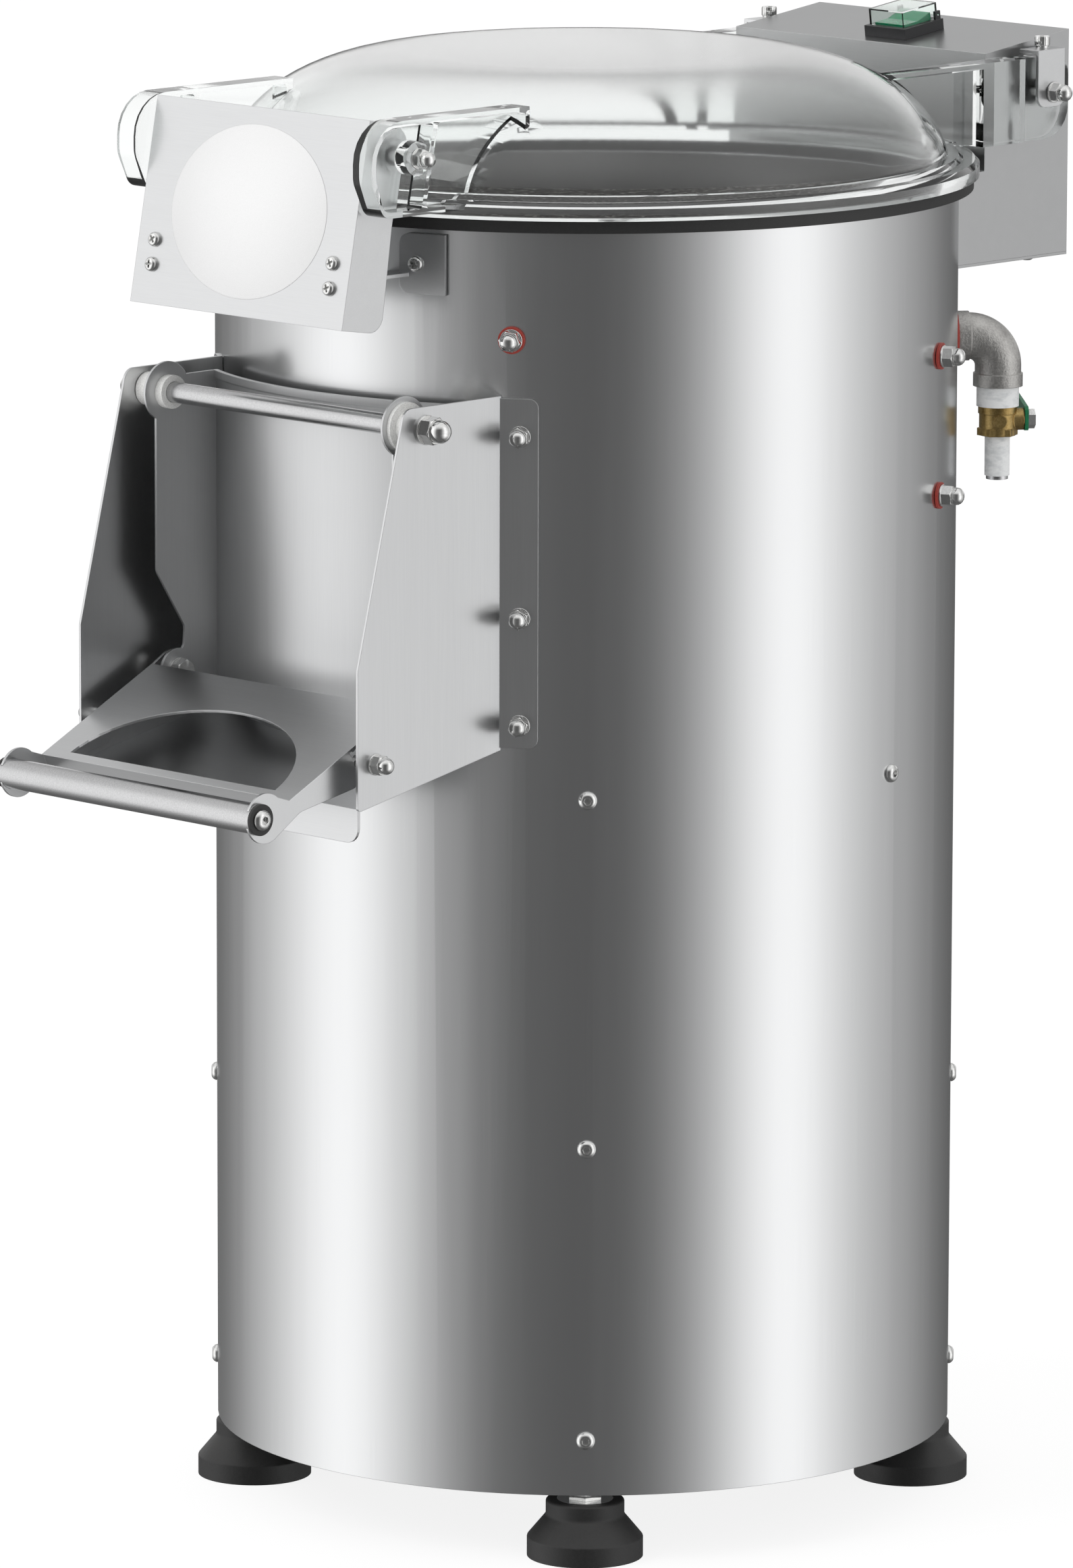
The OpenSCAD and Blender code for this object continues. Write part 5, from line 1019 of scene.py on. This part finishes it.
class PEELER_OT_door(bpy.types.Operator):
    """Finishes the discharge door, its rod, bushings and bolts"""
    bl_idname = "peeler.door"
    bl_label = "Door"

    def execute(self, context):
        finish_node(satin("Soft Brushed Sheet", UPRIGHT, softer=0.11), "door_panel")
        finish_node(tube_finish(), "door_rod")
        finish_node(rubber_finish(), "door_seal")
        finish_node(moulded("White Nylon", (0.90, 0.90, 0.88), 0.4, 1500.0, 0.00002, 0.05, (0.6, 0.6, 0.58)),
                    "door_bushings")
        scatter("rod_cap_nuts", cap_nut(1.3, tail=0.0), pair(CHEEK_X, ROD), "base", "rod_nuts", 4)
        scatter("lever_pivot_bolts", pivot_bolt(), pair(PIVOT_HEAD_X, LEVER_PIVOT), "door", "pivot_bolts", 11)
        return {"FINISHED"}


class PEELER_OT_lever(bpy.types.Operator):
    """Finishes the door lever and its handle"""
    bl_idname = "peeler.lever"
    bl_label = "Door Lever"

    def execute(self, context):
        finish_node(satin("Satin Sheet Steel"), "door_lever")
        finish_node(tube_finish(), "handle_tube")
        finish_node(rubber_finish(), "handle_caps")
        grip = leaning(LEVER_PIVOT, LEVER_SLOPE, (HANDLE_END, -LEVER_LEN, HANDLE_RISE))
        scatter("handle_button_screws", button_head(0.0056, 0.003, M5_R, 0.007),
                both_sides([(grip, ACROSS)]), "lever", "handle_screws", 7)
        return {"FINISHED"}


class PEELER_OT_lid(bpy.types.Operator):
    """Finishes the clear lid, its seal and its hinge"""
    bl_idname = "peeler.lid"
    bl_label = "Lid"

    def execute(self, context):
        clear = context.scene.peeler_plastics.lid
        finish_node(clear_moulding("Clear Lid", clear, 0.035, LID_HAZE), "lid_cover")
        smooth_node("lid_cover")
        finish_node(rubber_finish(), "lid_seal")
        finish_node(satin("Satin Sheet Steel"), "hinge_brackets")
        screw = socket_cap(0.00425, 0.005, M5_R, 0.0165, washer_r=0.0036, washer_t=0.0016, plate_t=0.002)
        spots = both_sides([((*HINGE_SCREW_XY, BRACKET_TOP_Z), (0.0, 0.0, 1.0))])
        scatter("hinge_socket_screws", screw, spots, "lid", "hinge_screws", 8)
        nut = plain_nut(context.scene.peeler_fasteners.nut_r, -0.0243, -0.0188)
        scatter("hinge_pins_and_nuts", joined([(cap_nut(0.95, tail=0.0243), Matrix()), (nut, Matrix())]),
                pair(HINGE_NUT_X, HINGE), "base", "hinge_pins", 9)
        head = (button_head(0.005, 0.003, M6_R, 0.002), lifted(-0.0148) @ FLIP)
        scatter("latch_pivot_bolts", joined([(cap_nut(0.9, tail=0.0165), Matrix()), head]),
                pair(LATCH_NUT_X, LATCH_PIVOT), "lid", "latch_bolts", 10)
        return {"FINISHED"}


class PEELER_OT_latch(bpy.types.Operator):
    """Finishes the latch plate, its clips, catches and cross-head screws"""
    bl_idname = "peeler.latch"
    bl_label = "Latch"

    def execute(self, context):
        finish_node(satin("Satin Sheet Steel"), "latch_plate", "latch_clips", "catch_brackets")
        low = LATCH_TOP - LATCH_LEN
        away = leaning((0.0, 0.0), -LATCH_LEAN, (0.0, -1.0, 0.0))
        spots = [(leaning(LATCH_PIVOT, -LATCH_LEAN, (x, -LATCH_DEEP, low + LATCH_LEN * share)), away)
                 for x, share in CLIP_SCREWS]
        scatter("latch_cross_screws", pan_head(0.004, 0.0028, M4_R, 0.0055), spots, "latch", "latch_screws",
                5)
        self.label(-LATCH_LEAN, (LATCH_TOP + low) / 2.0)
        scatter("catch_cross_screws", pan_head(0.0044, 0.003, M5_R, 0.0075),
                round_drum(CATCH_SCREWS, DRUM_R + CATCH_T), "base", "catch_screws", 6)
        return {"FINISHED"}

    def label(self, slope, rise):
        """A blank oval label stuck on the front of the plate."""
        thick = 0.00014
        rim = [(0.0, 0.0), (oval(*LABEL_R), 0.0), (oval(*LABEL_R), thick * 0.7),
               (oval(*[r - thick for r in LABEL_R]), thick), (0.0, thick)]
        start = Vector(leaning(LATCH_PIVOT, slope, (0.0, -LATCH_DEEP, rise))) * MM
        stand = Matrix.Translation(start) @ Matrix.Rotation(math.radians(90.0 + slope), 4, "X")
        film = moulded("Label Film", (0.86, 0.86, 0.86), 0.4, 1600.0, 0.00001, 0.02, (0.8, 0.8, 0.78), 0.97)
        mesh = mesh_of("blank_label", joined([(solid_from(rim, 96), stand)]))
        settle(bpy.data.objects.new("blank_label", mesh), film, "latch")


class PEELER_OT_box(bpy.types.Operator):
    """Finishes the control box, what is in it and its cable gland"""
    bl_idname = "peeler.box"
    bl_label = "Control Box"

    def execute(self, context):
        # The box and its bottom get the satin sheet painted darker, as shade.
        finish_node(satin("Dark Satin Sheet", tone=0.70), "control_box", "box_bottom")
        rows = [((BOX_X - 12.0, y, BOX_LOW_Z - SHEET_T), (0.0, 0.0, -1.0)) for y in BOX_SCREW_YS]
        rows += [((BOX_X, BOX_BACK_Y - 6.0, HINGE[1] + 6.0), ACROSS)]
        scatter("box_button_screws", button_head(0.004, 0.0026, M4_R, 0.0055), both_sides(rows), "base",
                "box_screws", 12)
        finish_node(moulded("Contactor Plastic", (0.30, 0.31, 0.32), 0.35, 1000.0, 0.00003), "contactor")
        finish_node(moulded("Black Moulding", (0.022, 0.022, 0.024), 0.4, 1100.0, 0.00005), "cable_gland",
                    "switch_bezel")
        return {"FINISHED"}


class PEELER_OT_switch(bpy.types.Operator):
    """Finishes the rocker and its flip cover"""
    bl_idname = "peeler.switch"
    bl_label = "Switch"

    def execute(self, context):
        green = context.scene.peeler_plastics.rocker
        finish_node(moulded("Green Rocker", green, 0.2, 900.0, 0.00002, 0.02), "switch_rocker")
        finish_node(clear_moulding("Clear Flip Cover", (0.93, 0.97, 0.95), 0.06, ior=1.45), "switch_cover")
        return {"FINISHED"}


class PEELER_OT_tap(bpy.types.Operator):
    """Finishes the water inlet: elbow, tape, valve and nipple"""
    bl_idname = "peeler.tap"
    bl_label = "Water Tap"

    def execute(self, context):
        finish_node(cast_metal("Cast Elbow", (0.58, 0.57, 0.55), (0.36, 0.35, 0.34), 0.42, 800.0, 0.0004),
                    "inlet_elbow")
        finish_node(wound_tape("Thread Tape", context.scene.peeler_plastics.tape), "thread_tape")
        finish_node(cast_metal("Valve Brass", (0.50, 0.36, 0.15), (0.30, 0.20, 0.07), 0.34, 900.0, 0.00012),
                    "valve_body")
        steel = context.scene.peeler_steel
        dip = dipped_lever("Green Lever Dip", (0.0, 0.19, 0.07), steel.bright, TAP_ANGLE, LEVER_NUT_OUT)
        finish_node(dip, "valve_lever")
        finish_node(shaft_finish(), "outlet_nipple")
        return {"FINISHED"}


OPERATORS = (
    PEELER_OT_stage, PEELER_OT_drum, PEELER_OT_chamber, PEELER_OT_drive, PEELER_OT_feet, PEELER_OT_chute,
    PEELER_OT_door, PEELER_OT_lever, PEELER_OT_lid, PEELER_OT_latch, PEELER_OT_box, PEELER_OT_switch,
    PEELER_OT_tap,
)


class PEELER_PT_panel(bpy.types.Panel):
    """Lists the peeler's settings and pieces"""
    bl_idname = "PEELER_PT_panel"
    bl_label = "Potato Peeler"
    bl_space_type = "VIEW_3D"
    bl_region_type = "UI"
    bl_category = "Peeler"

    def draw(self, context):
        column = self.layout.column()
        for name in SETTINGS:
            group = getattr(context.scene, name)
            box = column.box()
            for prop in type(group).__annotations__:
                box.prop(group, prop)
        for operator in OPERATORS:
            column.operator(operator.bl_idname)


SETTINGS = {
    "peeler_stage": PeelerStage,
    "peeler_steel": PeelerSteel,
    "peeler_fasteners": PeelerFasteners,
    "peeler_plastics": PeelerPlastics,
}


def register():
    for kind in (*SETTINGS.values(), *OPERATORS, PEELER_PT_panel):
        bpy.utils.register_class(kind)
    for name, kind in SETTINGS.items():
        setattr(bpy.types.Scene, name, bpy.props.PointerProperty(type=kind))


def unregister():
    for name in SETTINGS:
        delattr(bpy.types.Scene, name)
    for kind in reversed((*SETTINGS.values(), *OPERATORS, PEELER_PT_panel)):
        bpy.utils.unregister_class(kind)


def main():
    register()
    for operator in OPERATORS:
        family, call = operator.bl_idname.split(".")
        getattr(getattr(bpy.ops, family), call)()


if __name__ == "__main__":
    main()
